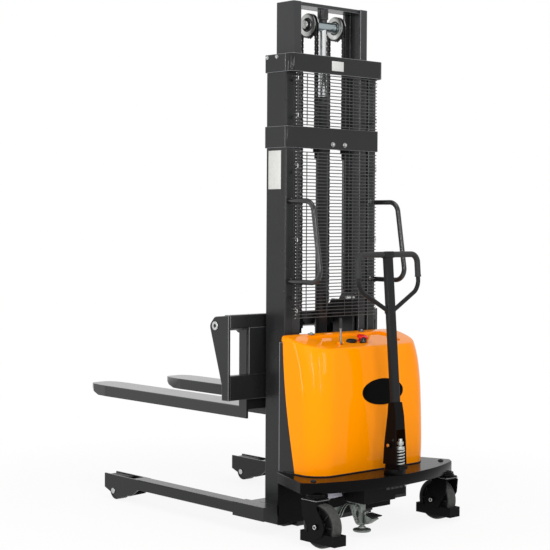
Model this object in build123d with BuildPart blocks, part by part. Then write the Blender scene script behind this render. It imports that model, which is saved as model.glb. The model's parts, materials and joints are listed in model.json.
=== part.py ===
from build123d import *
import math
import os

os.makedirs("parts", exist_ok=True)

# Semi-electric stacker, millimetres, +Z up, forks pointing along +Y.
# Distances "fwd" are measured forward from the line through both castor swivels.
swivel_y = -796.5


def fwd(distance):
    """Y of a point that lies this far forward of the castor swivel line."""
    return swivel_y + distance


# outer mast
outer_half = 275.7
outer_rear = 321.6
outer_front = 447.5
outer_bottom = 12.0
outer_top = 2035.0
outer_flange = 48.0
outer_web = 10.0
outer_lip = 12.0
# inner mast, shown raised a little
inner_half = 225.7
inner_rear = 330.2
inner_front = 442.7
inner_bottom = 300.0
inner_top = 2265.0
inner_flange = 45.0
inner_web = 10.0
inner_lip = 12.0
top_plate = 16.0
# crossbeams
beam_half = 280.7
beam_plate = 6.0
cheek_plate = 5.0
cheek_front = 450.0
upper_rear = 280.7
upper_low = 1957.5
upper_bend = 26.0
lower_rear = 310.5
lower_low = 1635.0
lower_high = 1728.0
# mesh guard
mesh_rear = 288.0
mesh_wire = 4.0
mesh_half = 246.0
mesh_pitch = 14.5
mesh_columns = 4
mesh_rows = (15, 49)
mesh_low = (1732.0, 905.0)
# grab handles
grab_x = 258.0
grab_radius = 11.0
grab_bend = 50.0
grab_high = 1408.0
grab_low = 1064.0
# lift cylinder, sheaves and chains
lift_fwd = 385.8
barrel_radius = 27.0
rod_radius = 17.0
barrel_high = 1869.0
sheave_x = 82.8
sheave_z = 2177.0
pitch_radius = 47.5
chain_height = 14.0
chain_width = 16.0
sheave_axle_radius = 18.0
running_gap = 0.05
rear_anchor_z = 1690.0
front_anchor_z = 896.0
# legs and load rollers
leg_x = 399.5
leg_width = 75.0
leg_low = 70.0
leg_high = 118.0
leg_rear = 270.0
leg_end = 1190.0
leg_wall = 5.0
roller_fwd = 1340.0
roller_z = 42.0
roller_width = 56.0
load_axle_radius = 10.0
# deck, base and cover
deck_high = 262.0
deck_skirt = 46.0
deck_plate_thick = 6.0
wall_rear = 280.0
wall_half = 345.0
cover_wall = 5.0
# carriage and forks
plate_outer = 458.4
plate_thick = 12.0
carriage_rear = 479.0
carriage_front = 519.0
carriage_low = 550.0
carriage_high = 918.0
shaft_fwd = 566.0
shaft_z = 870.0
shaft_radius = 25.0
fork_outer = 318.0
fork_inner = 153.0
fork_low = 460.0
fork_high = 512.0
fork_tip = 1737.0
# castors
castor_x = 397.0
castor_radius = 90.0
castor_trail = 42.0
castor_width = 50.0
castor_axle_radius = 8.0
crown_high = 200.0
guard_reach = 98.0
# tiller
yaw_fwd = -68.0
tilt_fwd = -64.0
tilt_z = 384.0
tilt_pin_radius = 8.0
lug_inner = 19.0
lug_outer = 25.0
cheek_inner = 25.5
cheek_outer = 32.0
arm_lean = 4.6
arm_fwd = -80.0
arm_foot = 395.0
arm_width = 45.0
arm_depth = 24.0
loop_radius = 12.6
# floor lock
lock_x = -120.0
lock_fwd = 6.0


def bar(x0, x1, y0, y1, z0, z1, mode=Mode.ADD):
    """A box between two corners, with Y counted forward of the swivel line."""
    with Locations(((x0 + x1) / 2, fwd((y0 + y1) / 2), (z0 + z1) / 2)):
        Box(abs(x1 - x0), y1 - y0, z1 - z0, mode=mode)


def rod_x(x0, x1, y, z, radius, mode=Mode.ADD):
    """A round bar along X."""
    with Locations(Location(((x0 + x1) / 2, fwd(y), z), (0, 90, 0))):
        Cylinder(radius, abs(x1 - x0), mode=mode)


def rod_z(x, y, z0, z1, radius, mode=Mode.ADD):
    """An upright round bar."""
    with Locations((x, fwd(y), (z0 + z1) / 2)):
        Cylinder(radius, z1 - z0, mode=mode)


def side_plane(x):
    """A plane square to X, whose own axes are Y and Z."""
    return Plane(origin=(x, 0, 0), x_dir=(0, 1, 0), z_dir=(1, 0, 0))


def keep(piece, name):
    piece.part.label = name
    export_step(piece.part, "parts/" + name + ".step")


def mast_channel(side, half, rear, front, flange, web, lip, low, high):
    """One rolled channel of a mast, open towards the middle."""
    outer = side * half
    inside = side * (half - web)
    edge = side * (half - flange)
    with BuildPart() as channel:
        with BuildSketch(Plane.XY.offset(low)):
            with BuildLine():
                Polyline(
                    (outer, fwd(rear)),
                    (edge, fwd(rear)),
                    (edge, fwd(rear + lip)),
                    (inside, fwd(rear + lip)),
                    (inside, fwd(front - lip)),
                    (edge, fwd(front - lip)),
                    (edge, fwd(front)),
                    (outer, fwd(front)),
                    close=True,
                )
            make_face()
        extrude(amount=high - low)
        uprights = channel.edges().filter_by(Axis.Z)
        fillet(uprights.filter_by_position(Axis.X, outer - 0.1, outer + 0.1), 7)
    return channel


for side, word in ((-1, "left"), (1, "right")):
    outer_channel = mast_channel(
        side, outer_half, outer_rear, outer_front, outer_flange, outer_web, outer_lip, outer_bottom, outer_top
    )
    keep(outer_channel, "outer_mast_" + word)
    inner_channel = mast_channel(
        side, inner_half, inner_rear, inner_front, inner_flange, inner_web, inner_lip, inner_bottom, inner_top
    )
    keep(inner_channel, "inner_mast_" + word)

# upper crossbeam: a plate bent forward at both ends
with BuildPart() as upper_crossbeam:
    with BuildSketch(Plane.XY.offset(upper_low)) as upper_profile:
        with BuildLine():
            Polyline(
                (-beam_half, fwd(outer_rear)),
                (-beam_half, fwd(upper_rear)),
                (beam_half, fwd(upper_rear)),
                (beam_half, fwd(outer_rear)),
                (beam_half - beam_plate, fwd(outer_rear)),
                (beam_half - beam_plate, fwd(upper_rear + beam_plate)),
                (-beam_half + beam_plate, fwd(upper_rear + beam_plate)),
                (-beam_half + beam_plate, fwd(outer_rear)),
                close=True,
            )
        make_face()
        bend_corners = upper_profile.vertices().group_by(Axis.Y)
        fillet(bend_corners[0], upper_bend)
        fillet(upper_profile.vertices().filter_by_position(
            Axis.Y, fwd(upper_rear + beam_plate) - 0.1, fwd(upper_rear + beam_plate) + 0.1), upper_bend - beam_plate)
    extrude(amount=outer_top - upper_low)
keep(upper_crossbeam, "upper_crossbeam")

# lower crossbeam: a flat bar across the mast rear
with BuildPart() as lower_crossbeam:
    bar(-beam_half, beam_half, lower_rear, outer_rear, lower_low, lower_high)
    rear_corners = lower_crossbeam.edges().filter_by(Axis.Z).group_by(Axis.Y)[0]
    fillet(rear_corners, 9)
keep(lower_crossbeam, "lower_crossbeam")

# cheek plates on the mast sides, in line with both beams
with BuildPart() as crossbeam_cheeks:
    for side in (-1, 1):
        for low, high in ((upper_low, outer_top), (lower_low, lower_high)):
            bar(side * outer_half, side * (outer_half + cheek_plate), outer_rear, cheek_front, low, high)
keep(crossbeam_cheeks, "crossbeam_cheeks")


# mesh guard: an upper and a lower panel of welded wire on tabs
hole_wide = (2 * mesh_half - (mesh_columns + 1) * mesh_wire) / mesh_columns
with BuildPart() as mesh_guard:
    for rows, low in zip(mesh_rows, mesh_low):
        tall = rows * mesh_pitch + mesh_wire
        face_plane = Plane(origin=(0, fwd(mesh_rear), low + tall / 2), x_dir=(1, 0, 0), z_dir=(0, -1, 0))
        with BuildSketch(face_plane):
            Rectangle(2 * mesh_half, tall)
            with GridLocations(hole_wide + mesh_wire, mesh_pitch, mesh_columns, rows):
                Rectangle(hole_wide, mesh_pitch - mesh_wire, mode=Mode.SUBTRACT)
        extrude(amount=-mesh_wire)
        for part_up in (0.12, 0.88):
            tab_z = low + mesh_pitch * round(part_up * rows) + mesh_wire / 2
            for side in (-1, 1):
                bar(side * (mesh_half - mesh_wire), side * mesh_half,
                    mesh_rear + mesh_wire, outer_rear, tab_z - 6, tab_z + 6)
keep(mesh_guard, "mesh_guard")

# grab handles: bent tube on the rear of each mast channel
with BuildPart() as grab_handles:
    for side in (-1, 1):
        with BuildLine(side_plane(side * grab_x)) as grab_line:
            FilletPolyline(
                (fwd(outer_rear), grab_high),
                (fwd(173), grab_high),
                (fwd(118), grab_low),
                (fwd(outer_rear), grab_low),
                radius=grab_bend,
            )
        with BuildSketch(Plane(origin=grab_line.wire() @ 0, z_dir=grab_line.wire() % 0)):
            Circle(grab_radius)
        sweep(path=grab_line.wire())
keep(grab_handles, "grab_handles")

# base: the crossmember under the mast, a bracket to each leg, and the wall below the deck
with BuildPart() as base_crossmember:
    bar(-(outer_half - outer_flange), outer_half - outer_flange, wall_rear + 8, 440, outer_bottom, 80)
    for side in (-1, 1):
        bar(side * outer_half, side * (leg_x - leg_width / 2), wall_rear + 8, outer_front, 76, leg_high)
keep(base_crossmember, "base_crossmember")

with BuildPart() as base_wall:
    bar(-wall_half, wall_half, wall_rear, wall_rear + 8, 33, deck_high)
keep(base_wall, "base_wall")


def straddle_leg(side):
    """A leg tube in a short sleeve, ending in an open bracket for the load roller."""
    outer = leg_x + leg_width / 2
    inner = leg_x - leg_width / 2
    with BuildPart() as leg:
        bar(side * inner, side * outer, leg_rear, leg_end, leg_low, leg_high)
        long_edges = leg.edges().filter_by(Axis.Y)
        fillet(long_edges, 5)
        bar(side * inner, side * (outer + 3), leg_rear, 469, leg_low - 8, leg_high + 3)
        bar(side * (inner + leg_wall), side * (outer - leg_wall), leg_rear + 8, leg_end - 20,
            leg_low + leg_wall, leg_high - leg_wall, Mode.SUBTRACT)
        for plate_x in (inner, outer - 8):
            with BuildSketch(side_plane(side * plate_x)):
                with BuildLine():
                    Polyline(
                        (fwd(1148), leg_high),
                        (fwd(1412), leg_high),
                        (fwd(1412), 52),
                        (fwd(1345), 27),
                        (fwd(1310), 10),
                        (fwd(1190), 42),
                        (fwd(1163), 62),
                        (fwd(1148), leg_low),
                        close=True,
                    )
                make_face()
            extrude(amount=side * 8)
        rod_x(side * (inner - 1), side * (outer + 1), roller_fwd, roller_z,
              load_axle_radius + running_gap, Mode.SUBTRACT)
    return leg


keep(straddle_leg(-1), "straddle_leg_left")
keep(straddle_leg(1), "straddle_leg_right")

with BuildPart() as load_axles:
    for side in (-1, 1):
        inner = leg_x - leg_width / 2
        outer = leg_x + leg_width / 2
        rod_x(side * inner, side * outer, roller_fwd, roller_z, load_axle_radius)
        rod_x(side * outer, side * (outer + 5), roller_fwd, roller_z, 13)
        rod_x(side * (inner - 5), side * inner, roller_fwd, roller_z, 13)
keep(load_axles, "load_axles")


def load_roller(side):
    with BuildPart() as roller:
        rod_x(side * (leg_x - roller_width / 2), side * (leg_x + roller_width / 2), roller_fwd, roller_z, roller_z)
        fillet(roller.edges().filter_by(GeomType.CIRCLE), 4)
        rod_x(side * (leg_x - roller_width), side * (leg_x + roller_width), roller_fwd, roller_z,
              load_axle_radius + running_gap, Mode.SUBTRACT)
    return roller


keep(load_roller(-1), "load_roller_left")
keep(load_roller(1), "load_roller_right")

# deck: a flared plate with a skirt all round, bowed at the rear
with BuildPart() as deck_plate:
    with BuildSketch(Plane.XY.offset(deck_high - deck_skirt)) as deck_outline:
        with BuildLine():
            Polyline((-425, fwd(-15)), (-458, fwd(24)), (-355, fwd(wall_rear)), (355, fwd(wall_rear)),
                     (458, fwd(24)), (425, fwd(-15)))
            ThreePointArc((-425, fwd(-15)), (0, fwd(-110)), (425, fwd(-15)))
        make_face()
        deck_corners = deck_outline.vertices().filter_by_position(Axis.Y, fwd(-20), fwd(30))
        fillet(deck_corners, 18)
    extrude(amount=deck_skirt)
    top_rim = deck_plate.faces().sort_by(Axis.Z)[-1].edges()
    fillet(top_rim.filter_by_position(Axis.Y, fwd(-200), fwd(wall_rear - 1)), 3)
    with BuildSketch(Plane.XY.offset(deck_high - deck_skirt)):
        offset(deck_outline.sketch, amount=-deck_plate_thick)
    extrude(amount=deck_skirt - deck_plate_thick, mode=Mode.SUBTRACT)
    rod_z(0, yaw_fwd, deck_high - 20, deck_high + 5, 20 + running_gap, Mode.SUBTRACT)
keep(deck_plate, "deck_plate")

# panels that close the cover towards the mast: one each side and one across
with BuildPart() as side_panels:
    for side in (-1, 1):
        with BuildSketch(side_plane(side * 333)):
            with BuildLine():
                Polyline(
                    (fwd(165), deck_high),
                    (fwd(285.5), deck_high),
                    (fwd(285.5), 810),
                    (fwd(226), 810),
                    (fwd(215), 600),
                    (fwd(195), 430),
                    close=True,
                )
            make_face()
        extrude(amount=side * 5)
    bar(-338, 338, 286, 290, deck_high, 810)
keep(side_panels, "side_panels")

# moulded cover: sections from the deck up, as height, half width, front, rear and rear corner radius
cover_sections = (
    (deck_high, 343, 183, 46, 95),
    (430, 345, 214, 42, 98),
    (600, 345, 241, 46, 105),
    (754, 344, 256, 62, 122),
    (852, 342, 263, 92, 160),
)
ridge_front = (263, 838)
ridge_rear = (80, 792)
ridge_slope = (ridge_front[1] - ridge_rear[1]) / (ridge_front[0] - ridge_rear[0])
ridge_angle = math.atan(ridge_slope)
dish_depth = 8.0
dish_floor = 6.0


def ridge(distance):
    """Height of the cover's sloping top at this distance forward."""
    return ridge_rear[1] + (distance - ridge_rear[0]) * ridge_slope


def cover_body(inset):
    """The cover's body, or the hollow inside it when inset is the wall."""
    with BuildPart() as body:
        for height, half, front, rear, radius in cover_sections:
            x = half - inset
            y = rear + inset
            r = radius - inset
            ahead = front + (40 if inset else 0)
            diagonal = r * (1 - math.sqrt(0.5))
            with BuildSketch(Plane.XY.offset(height - (1 if inset and height == deck_high else 0))):
                with BuildLine():
                    Line((-x, fwd(ahead)), (-x, fwd(y + r)))
                    ThreePointArc((-x, fwd(y + r)), (-x + diagonal, fwd(y + diagonal)), (-x + r, fwd(y)))
                    Line((-x + r, fwd(y)), (x - r, fwd(y)))
                    ThreePointArc((x - r, fwd(y)), (x - diagonal, fwd(y + diagonal)), (x, fwd(y + r)))
                    Line((x, fwd(y + r)), (x, fwd(ahead)))
                    Line((x, fwd(ahead)), (-x, fwd(ahead)))
                make_face()
        loft()
        drop = (dish_depth + dish_floor) * 1.05 if inset else 0
        with BuildSketch(side_plane(-500)):
            with BuildLine():
                Polyline(
                    (fwd(-20), ridge(-20) - drop),
                    (fwd(363), ridge(363) - drop),
                    (fwd(363), 1000),
                    (fwd(-20), 1000),
                    close=True,
                )
            make_face()
        extrude(amount=1000, mode=Mode.SUBTRACT)
        if not inset:
            top_face = body.faces().sort_by(Axis.Z)[-1]
            fillet(top_face.edges(), 14)
    return body


cover_outside = cover_body(0)
cover_hollow = cover_body(cover_wall)
with BuildPart() as cover:
    add(cover_outside.part)
    add(cover_hollow.part, mode=Mode.SUBTRACT)
    dish_top = Plane(
        origin=(0, fwd(178), ridge(178)), x_dir=(1, 0, 0), z_dir=(0, -math.sin(ridge_angle), math.cos(ridge_angle))
    )
    with BuildSketch(dish_top):
        RectangleRounded(480, 136, 34)
    extrude(amount=-dish_depth, mode=Mode.SUBTRACT)
keep(cover, "cover")

# battery and pump unit under the cover
with BuildPart() as battery:
    bar(-260, -20, 80, 265, deck_high, 470)
    fillet(battery.edges().filter_by(Axis.Z), 8)
    for post_x in (-220, -60):
        rod_z(post_x, 110, 470, 486, 9)
keep(battery, "battery")

with BuildPart() as power_unit:
    bar(40, 290, 85, 255, deck_high, 420)
    fillet(power_unit.edges().filter_by(Axis.Z), 14)
    rod_z(120, 170, 420, 610, 62)
    rod_z(230, 170, 420, 470, 40)
keep(power_unit, "power_unit")

# lift cylinder on the base crossmember
with BuildPart() as cylinder_barrel:
    rod_z(0, lift_fwd, 80, barrel_high - 30, barrel_radius)
    rod_z(0, lift_fwd, barrel_high - 30, barrel_high, barrel_radius + 3)
    rod_z(0, lift_fwd, 110, barrel_high - 30, rod_radius + 4, Mode.SUBTRACT)
    rod_z(0, lift_fwd, barrel_high - 30, barrel_high, rod_radius + running_gap, Mode.SUBTRACT)
keep(cylinder_barrel, "cylinder_barrel")

with BuildPart() as ram_rod:
    rod_z(0, lift_fwd, 560, 2146, rod_radius)
    bar(-28, 28, lift_fwd - 30, lift_fwd + 30, 2146, 2208)
    rod_x(-40, 40, lift_fwd, sheave_z, sheave_axle_radius + running_gap, Mode.SUBTRACT)
keep(ram_rod, "ram_rod")

with BuildPart() as sheave_axle:
    rod_x(-112, 112, lift_fwd, sheave_z, sheave_axle_radius)
    for side in (-1, 1):
        rod_x(side * 97, side * 105, lift_fwd, sheave_z, sheave_axle_radius + 6)
keep(sheave_axle, "sheave_axle")

with BuildPart() as inner_mast_ties:
    bar(-(inner_half - inner_web), inner_half - inner_web, inner_rear + inner_lip, inner_front - inner_lip,
        inner_top - top_plate, inner_top)
    rod_z(0, lift_fwd, 2208, inner_top - top_plate, 24)
    bar(-(inner_half - inner_flange), inner_half - inner_flange, 416, 428, inner_bottom, inner_bottom + 40)
    for side in (-1, 1):
        bar(side * (inner_half - inner_flange), side * (inner_half - inner_web), 416, inner_front - inner_lip,
            inner_bottom, inner_bottom + 40)
keep(inner_mast_ties, "inner_mast_ties")

with BuildPart() as mast_shoes:
    for side in (-1, 1):
        bar(side * inner_half, side * (outer_half - outer_web - 0.8), outer_rear + outer_lip + 0.8,
            outer_front - outer_lip - 0.8, inner_bottom + 10, inner_bottom + 130)
keep(mast_shoes, "mast_shoes")


def sheave(side):
    """A chain wheel with two rims."""
    middle = side * sheave_x
    with BuildPart() as wheel:
        rod_x(middle - 12.5, middle + 12.5, lift_fwd, sheave_z, pitch_radius - chain_height / 2 - 0.5)
        for rim in (-1, 1):
            rod_x(middle + rim * 8.5, middle + rim * 12.5, lift_fwd, sheave_z, 50)
        rod_x(middle - 20, middle + 20, lift_fwd, sheave_z, sheave_axle_radius + running_gap, Mode.SUBTRACT)
    return wheel


keep(sheave(-1), "sheave_left")
keep(sheave(1), "sheave_right")

# lift chains: bends over the sheaves, rear strands to the lower beam, front strands to the carriage
chain_outside = pitch_radius + chain_height / 2
chain_inside = pitch_radius - chain_height / 2
with BuildPart() as chain_wraps:
    for side in (-1, 1):
        rod_x(side * sheave_x - chain_width / 2, side * sheave_x + chain_width / 2, lift_fwd, sheave_z, chain_outside)
        rod_x(side * sheave_x - chain_width, side * sheave_x + chain_width, lift_fwd, sheave_z, chain_inside,
              Mode.SUBTRACT)
    bar(-150, 150, lift_fwd - 80, lift_fwd + 80, sheave_z - 80, sheave_z, Mode.SUBTRACT)
keep(chain_wraps, "chain_wraps")

with BuildPart() as rear_chains:
    for side in (-1, 1):
        bar(side * sheave_x - chain_width / 2, side * sheave_x + chain_width / 2,
            lift_fwd - chain_outside, lift_fwd - chain_inside, rear_anchor_z, sheave_z)
keep(rear_chains, "rear_chains")

with BuildPart() as front_chains:
    for side in (-1, 1):
        bar(side * sheave_x - chain_width / 2, side * sheave_x + chain_width / 2,
            lift_fwd + chain_inside, lift_fwd + chain_outside, front_anchor_z, sheave_z)
keep(front_chains, "front_chains")

with BuildPart() as chain_anchor_bolts:
    for side in (-1, 1):
        middle = side * sheave_x
        strand = lift_fwd - pitch_radius
        bar(middle - 20, middle + 20, outer_rear, strand + 14, lower_low + 1, lower_low + 17)
        bar(middle - 11, middle + 11, strand - 9, strand + 9, lower_low + 17, rear_anchor_z)
        rod_z(middle, strand, lower_low - 40, lower_low + 1, 7)
        rod_z(middle, strand, lower_low - 14, lower_low + 1, 13)
keep(chain_anchor_bolts, "chain_anchor_bolts")

with BuildPart() as chain_clevises:
    for side in (-1, 1):
        middle = side * sheave_x
        strand = lift_fwd + pitch_radius
        bar(middle - 20, middle + 20, strand - 9, carriage_rear, 864, 880)
        bar(middle - 11, middle + 11, strand - 9, strand + 9, 880, front_anchor_z)
        rod_z(middle, strand, 828, 864, 7)
        rod_z(middle, strand, 850, 864, 13)
        for shoe_z in (608, 964):
            rod_x(side * 156, side * 166, lift_fwd, shoe_z, 13)
keep(chain_clevises, "chain_clevises")

# carriage
plate_inner = plate_outer - plate_thick
with BuildPart() as carriage_side_plates:
    for side in (-1, 1):
        with BuildSketch(side_plane(side * plate_inner)) as plate_outline:
            with BuildLine():
                Polyline(
                    (fwd(carriage_rear), carriage_low),
                    (fwd(carriage_rear), carriage_high),
                    (fwd(572), 909),
                    (fwd(606), 872),
                    (fwd(525), 621),
                    (fwd(522), carriage_low),
                    close=True,
                )
            make_face()
            fillet(plate_outline.vertices().sort_by(Axis.X)[-2:], 26)
        extrude(amount=side * plate_thick)
keep(carriage_side_plates, "carriage_side_plates")


def hollow_beam(low, high):
    with BuildPart() as beam:
        bar(-plate_inner, plate_inner, carriage_rear, carriage_front, low, high)
        fillet(beam.edges().filter_by(Axis.X), 5)
        bar(-plate_inner, plate_inner, carriage_rear + 7, carriage_front - 7, low + 7, high - 7, Mode.SUBTRACT)
    return beam


keep(hollow_beam(862, carriage_high), "carriage_top_beam")
keep(hollow_beam(carriage_low, 657), "carriage_lower_beam")

with BuildPart() as carriage_uprights:
    for side in (-1, 1):
        bar(side * 205, side * 340, carriage_rear, carriage_rear + 12, 657, 862)
keep(carriage_uprights, "carriage_uprights")

with BuildPart() as carriage_shoes:
    for side in (-1, 1):
        with BuildSketch(side_plane(side * 166)):
            with BuildLine():
                Polyline(
                    (fwd(350), 562),
                    (fwd(carriage_rear), 562),
                    (fwd(carriage_rear), 916),
                    (fwd(422), 1004),
                    (fwd(350), 1004),
                    close=True,
                )
            make_face()
        extrude(amount=side * 12)
        for shoe_low in (570, 926):
            bar(side * 178, side * (inner_half - inner_web - 0.8), inner_rear + inner_lip + 0.8,
                inner_front - inner_lip - 0.8, shoe_low, shoe_low + 76)
keep(carriage_shoes, "carriage_shoes")

with BuildPart() as fork_shaft:
    rod_x(-plate_inner, plate_inner, shaft_fwd, shaft_z, shaft_radius)
    for side in (-1, 1):
        rod_x(side * plate_outer, side * (plate_outer + 4), shaft_fwd, shaft_z, 19)
        with BuildSketch(side_plane(side * (plate_outer + 4))):
            with Locations((fwd(shaft_fwd), shaft_z)):
                RegularPolygon(9, 6)
        extrude(amount=-side * 3, mode=Mode.SUBTRACT)
keep(fork_shaft, "fork_shaft")


def fork(side):
    """A hollow-bladed fork hung on the shaft by an eye."""
    with BuildPart() as tine:
        with BuildSketch(side_plane(side * fork_inner)):
            with BuildLine():
                Polyline(
                    (fwd(521), fork_low),
                    (fwd(521), shaft_z),
                    (fwd(571), shaft_z),
                    (fwd(571), fork_high),
                    (fwd(fork_tip), fork_high),
                    (fwd(fork_tip), fork_high - 22),
                    (fwd(1646), fork_low),
                    close=True,
                )
            make_face()
        extrude(amount=side * (fork_outer - fork_inner))
        rod_x(side * fork_inner, side * fork_outer, shaft_fwd, shaft_z, 38)
        rod_x(side * fork_inner - 200, side * fork_inner + 200, shaft_fwd, shaft_z, shaft_radius + running_gap,
              Mode.SUBTRACT)
        middle = side * (fork_inner + fork_outer) / 2
        for edge in (-1, 1):
            with BuildSketch(Plane.XY.offset(fork_low - 5)):
                with BuildLine():
                    Polyline(
                        (middle + edge * 82.5, fwd(1580)),
                        (middle + edge * 71, fwd(1690)),
                        (middle + edge * 52, fwd(1726)),
                        (middle + edge * 36, fwd(fork_tip)),
                        (middle + edge * 120, fwd(fork_tip + 5)),
                        (middle + edge * 120, fwd(1580)),
                        close=True,
                    )
                make_face()
            extrude(amount=80, mode=Mode.SUBTRACT)
        blade_edges = tine.edges().filter_by(Axis.Y).filter_by_position(Axis.Z, fork_high - 1, fork_high + 1)
        fillet(blade_edges, 4)
        bar(middle - 72, middle + 72, 515, 1560, fork_low - 1, fork_high - 12, Mode.SUBTRACT)
    return tine


keep(fork(-1), "fork_left")
keep(fork(1), "fork_right")


# castors: the left one trails to the rear, the right one is turned to the front
def castor_fork(x, trail):
    axle = trail * castor_trail
    with BuildPart() as horn:
        bar(x - 37, x + 37, -44, 44, 186, crown_high)
        fillet(horn.edges().filter_by(Axis.Z), 10)
        for side in (-1, 1):
            with BuildSketch(side_plane(x + side * 33)) as leg:
                with BuildLine():
                    Polyline(
                        (fwd(-trail * 44), 186),
                        (fwd(trail * 40), 186),
                        (fwd(trail * 46), 160),
                        (fwd(axle + trail * 34), 122),
                        (fwd(axle + trail * 48), 88),
                        (fwd(axle + trail * 34), 54),
                        (fwd(axle), 40),
                        (fwd(axle - trail * 34), 54),
                        (fwd(-trail * 38), 126),
                        close=True,
                    )
                make_face()
                fillet(leg.vertices().filter_by_position(Axis.Y, 30, 165), 14)
            extrude(amount=side * 6)
            bar(x + side * 29, x + side * 33, axle - guard_reach, axle + guard_reach, 21, 64)
            bar(x - 33, x + 33, axle + side * guard_reach - 4, axle + side * guard_reach, 21, 64)
        rod_x(x - 44, x + 44, axle, castor_radius, castor_axle_radius)
        for side in (-1, 1):
            with BuildSketch(side_plane(x + side * 39)):
                with Locations((fwd(axle), castor_radius)):
                    RegularPolygon(13, 6)
            extrude(amount=side * 8)
    return horn


def castor_wheel(x, trail):
    axle = trail * castor_trail
    half = castor_width / 2
    with BuildPart() as wheel:
        rod_x(x - half, x + half, axle, castor_radius, castor_radius)
        fillet(wheel.edges().filter_by(GeomType.CIRCLE), 9)
        for side in (-1, 1):
            rod_x(x + side * half, x + side * (half - 12), axle, castor_radius, 66, Mode.SUBTRACT)
            rod_x(x + side * (half - 12), x + side * half, axle, castor_radius, 24)
            with Locations(Location((x + side * (half - 9), fwd(axle), castor_radius), (0, 90, 0))):
                with PolarLocations(45, 8):
                    Box(6, 46, 6)
        rod_x(x - castor_width, x + castor_width, axle, castor_radius, castor_axle_radius + running_gap,
              Mode.SUBTRACT)
    return wheel


keep(castor_fork(-castor_x, -1), "castor_fork_left")
keep(castor_fork(castor_x, 1), "castor_fork_right")
keep(castor_wheel(-castor_x, -1), "castor_wheel_left")
keep(castor_wheel(castor_x, 1), "castor_wheel_right")

# under the deck: a bearing housing over each castor and the steering box in the middle
with BuildPart() as steering_housings:
    for side in (-1, 1):
        rod_z(side * castor_x, 0, crown_high + 0.5, deck_high - deck_skirt, 38)
        rod_z(side * castor_x, 0, deck_high - deck_skirt, deck_high - deck_plate_thick, 18)
    bar(-175, 15, -58, 60, 150, 214)
    bar(15, 75, -58, 60, 166, 214)
    rod_z(0, yaw_fwd + 20, 214, 234, 46)
    bar(-60, 60, -30, 50, 214, deck_high - deck_plate_thick)
keep(steering_housings, "steering_housings")

# tiller turntable on the deck: a disc, a foot and two lugs that stand between the yoke's cheeks
lug_eye = 20.0
spring_x = 0.0
spring_fwd = -98.0
spring_low = 298.0
spring_high = 366.0
with BuildPart() as turntable:
    rod_z(0, yaw_fwd, 235, deck_high + 0.5, 20)
    rod_z(0, yaw_fwd, deck_high + 0.5, 284, 46)
    bar(-lug_outer, lug_outer, yaw_fwd - 50, yaw_fwd + 34, 284, spring_low)
    for side in (-1, 1):
        with BuildSketch(side_plane(side * lug_inner)):
            with BuildLine():
                Polyline(
                    (fwd(yaw_fwd - 28), spring_low),
                    (fwd(yaw_fwd + 32), spring_low),
                    (fwd(tilt_fwd + lug_eye), tilt_z),
                    (fwd(tilt_fwd - lug_eye), tilt_z),
                    close=True,
                )
            make_face()
            with Locations((fwd(tilt_fwd), tilt_z)):
                Circle(lug_eye)
        extrude(amount=side * (lug_outer - lug_inner))
    rod_x(-80, 80, tilt_fwd, tilt_z, tilt_pin_radius + running_gap, Mode.SUBTRACT)
keep(turntable, "turntable")

with BuildPart() as spring_rod:
    rod_z(spring_x, spring_fwd, spring_low, 412, 8)
    rod_z(spring_x, spring_fwd, spring_high, spring_high + 14, 17)
    rod_z(spring_x, spring_fwd, spring_high + 22, spring_high + 34, 13)
keep(spring_rod, "spring_rod")

head_gap = 0.5
with BuildPart() as tiller_pin:
    for side in (-1, 1):
        rod_x(side * lug_inner, side * (cheek_outer + head_gap), tilt_fwd, tilt_z, tilt_pin_radius)
        with BuildSketch(side_plane(side * (cheek_outer + head_gap))):
            with Locations((fwd(tilt_fwd), tilt_z)):
                RegularPolygon(12, 6)
        extrude(amount=side * 8)
keep(tiller_pin, "tiller_pin")

# return spring: one wire wound round the rod, its ends turned square into both seats
spring_radius = 15.5
spring_wire = 2.2
spring_turns = 5
end_bend = 5.0
end_straight = 2 * spring_wire
turn_pitch = (spring_high - spring_low - 2 * end_straight - 2 * end_bend) / spring_turns
climb = math.atan2(turn_pitch, 2 * math.pi * spring_radius)


def winding(turn):
    """A point of the wire's middle line and its direction there."""
    angle = 2 * math.pi * turn
    low = spring_low + end_straight + end_bend * math.cos(climb)
    place = Vector(
        spring_x + spring_radius * math.cos(angle),
        fwd(spring_fwd) + spring_radius * math.sin(angle),
        low + turn_pitch * turn,
    )
    heading = Vector(
        -math.cos(climb) * math.sin(angle), math.cos(climb) * math.cos(angle), math.sin(climb)
    )
    return place, heading


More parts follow.
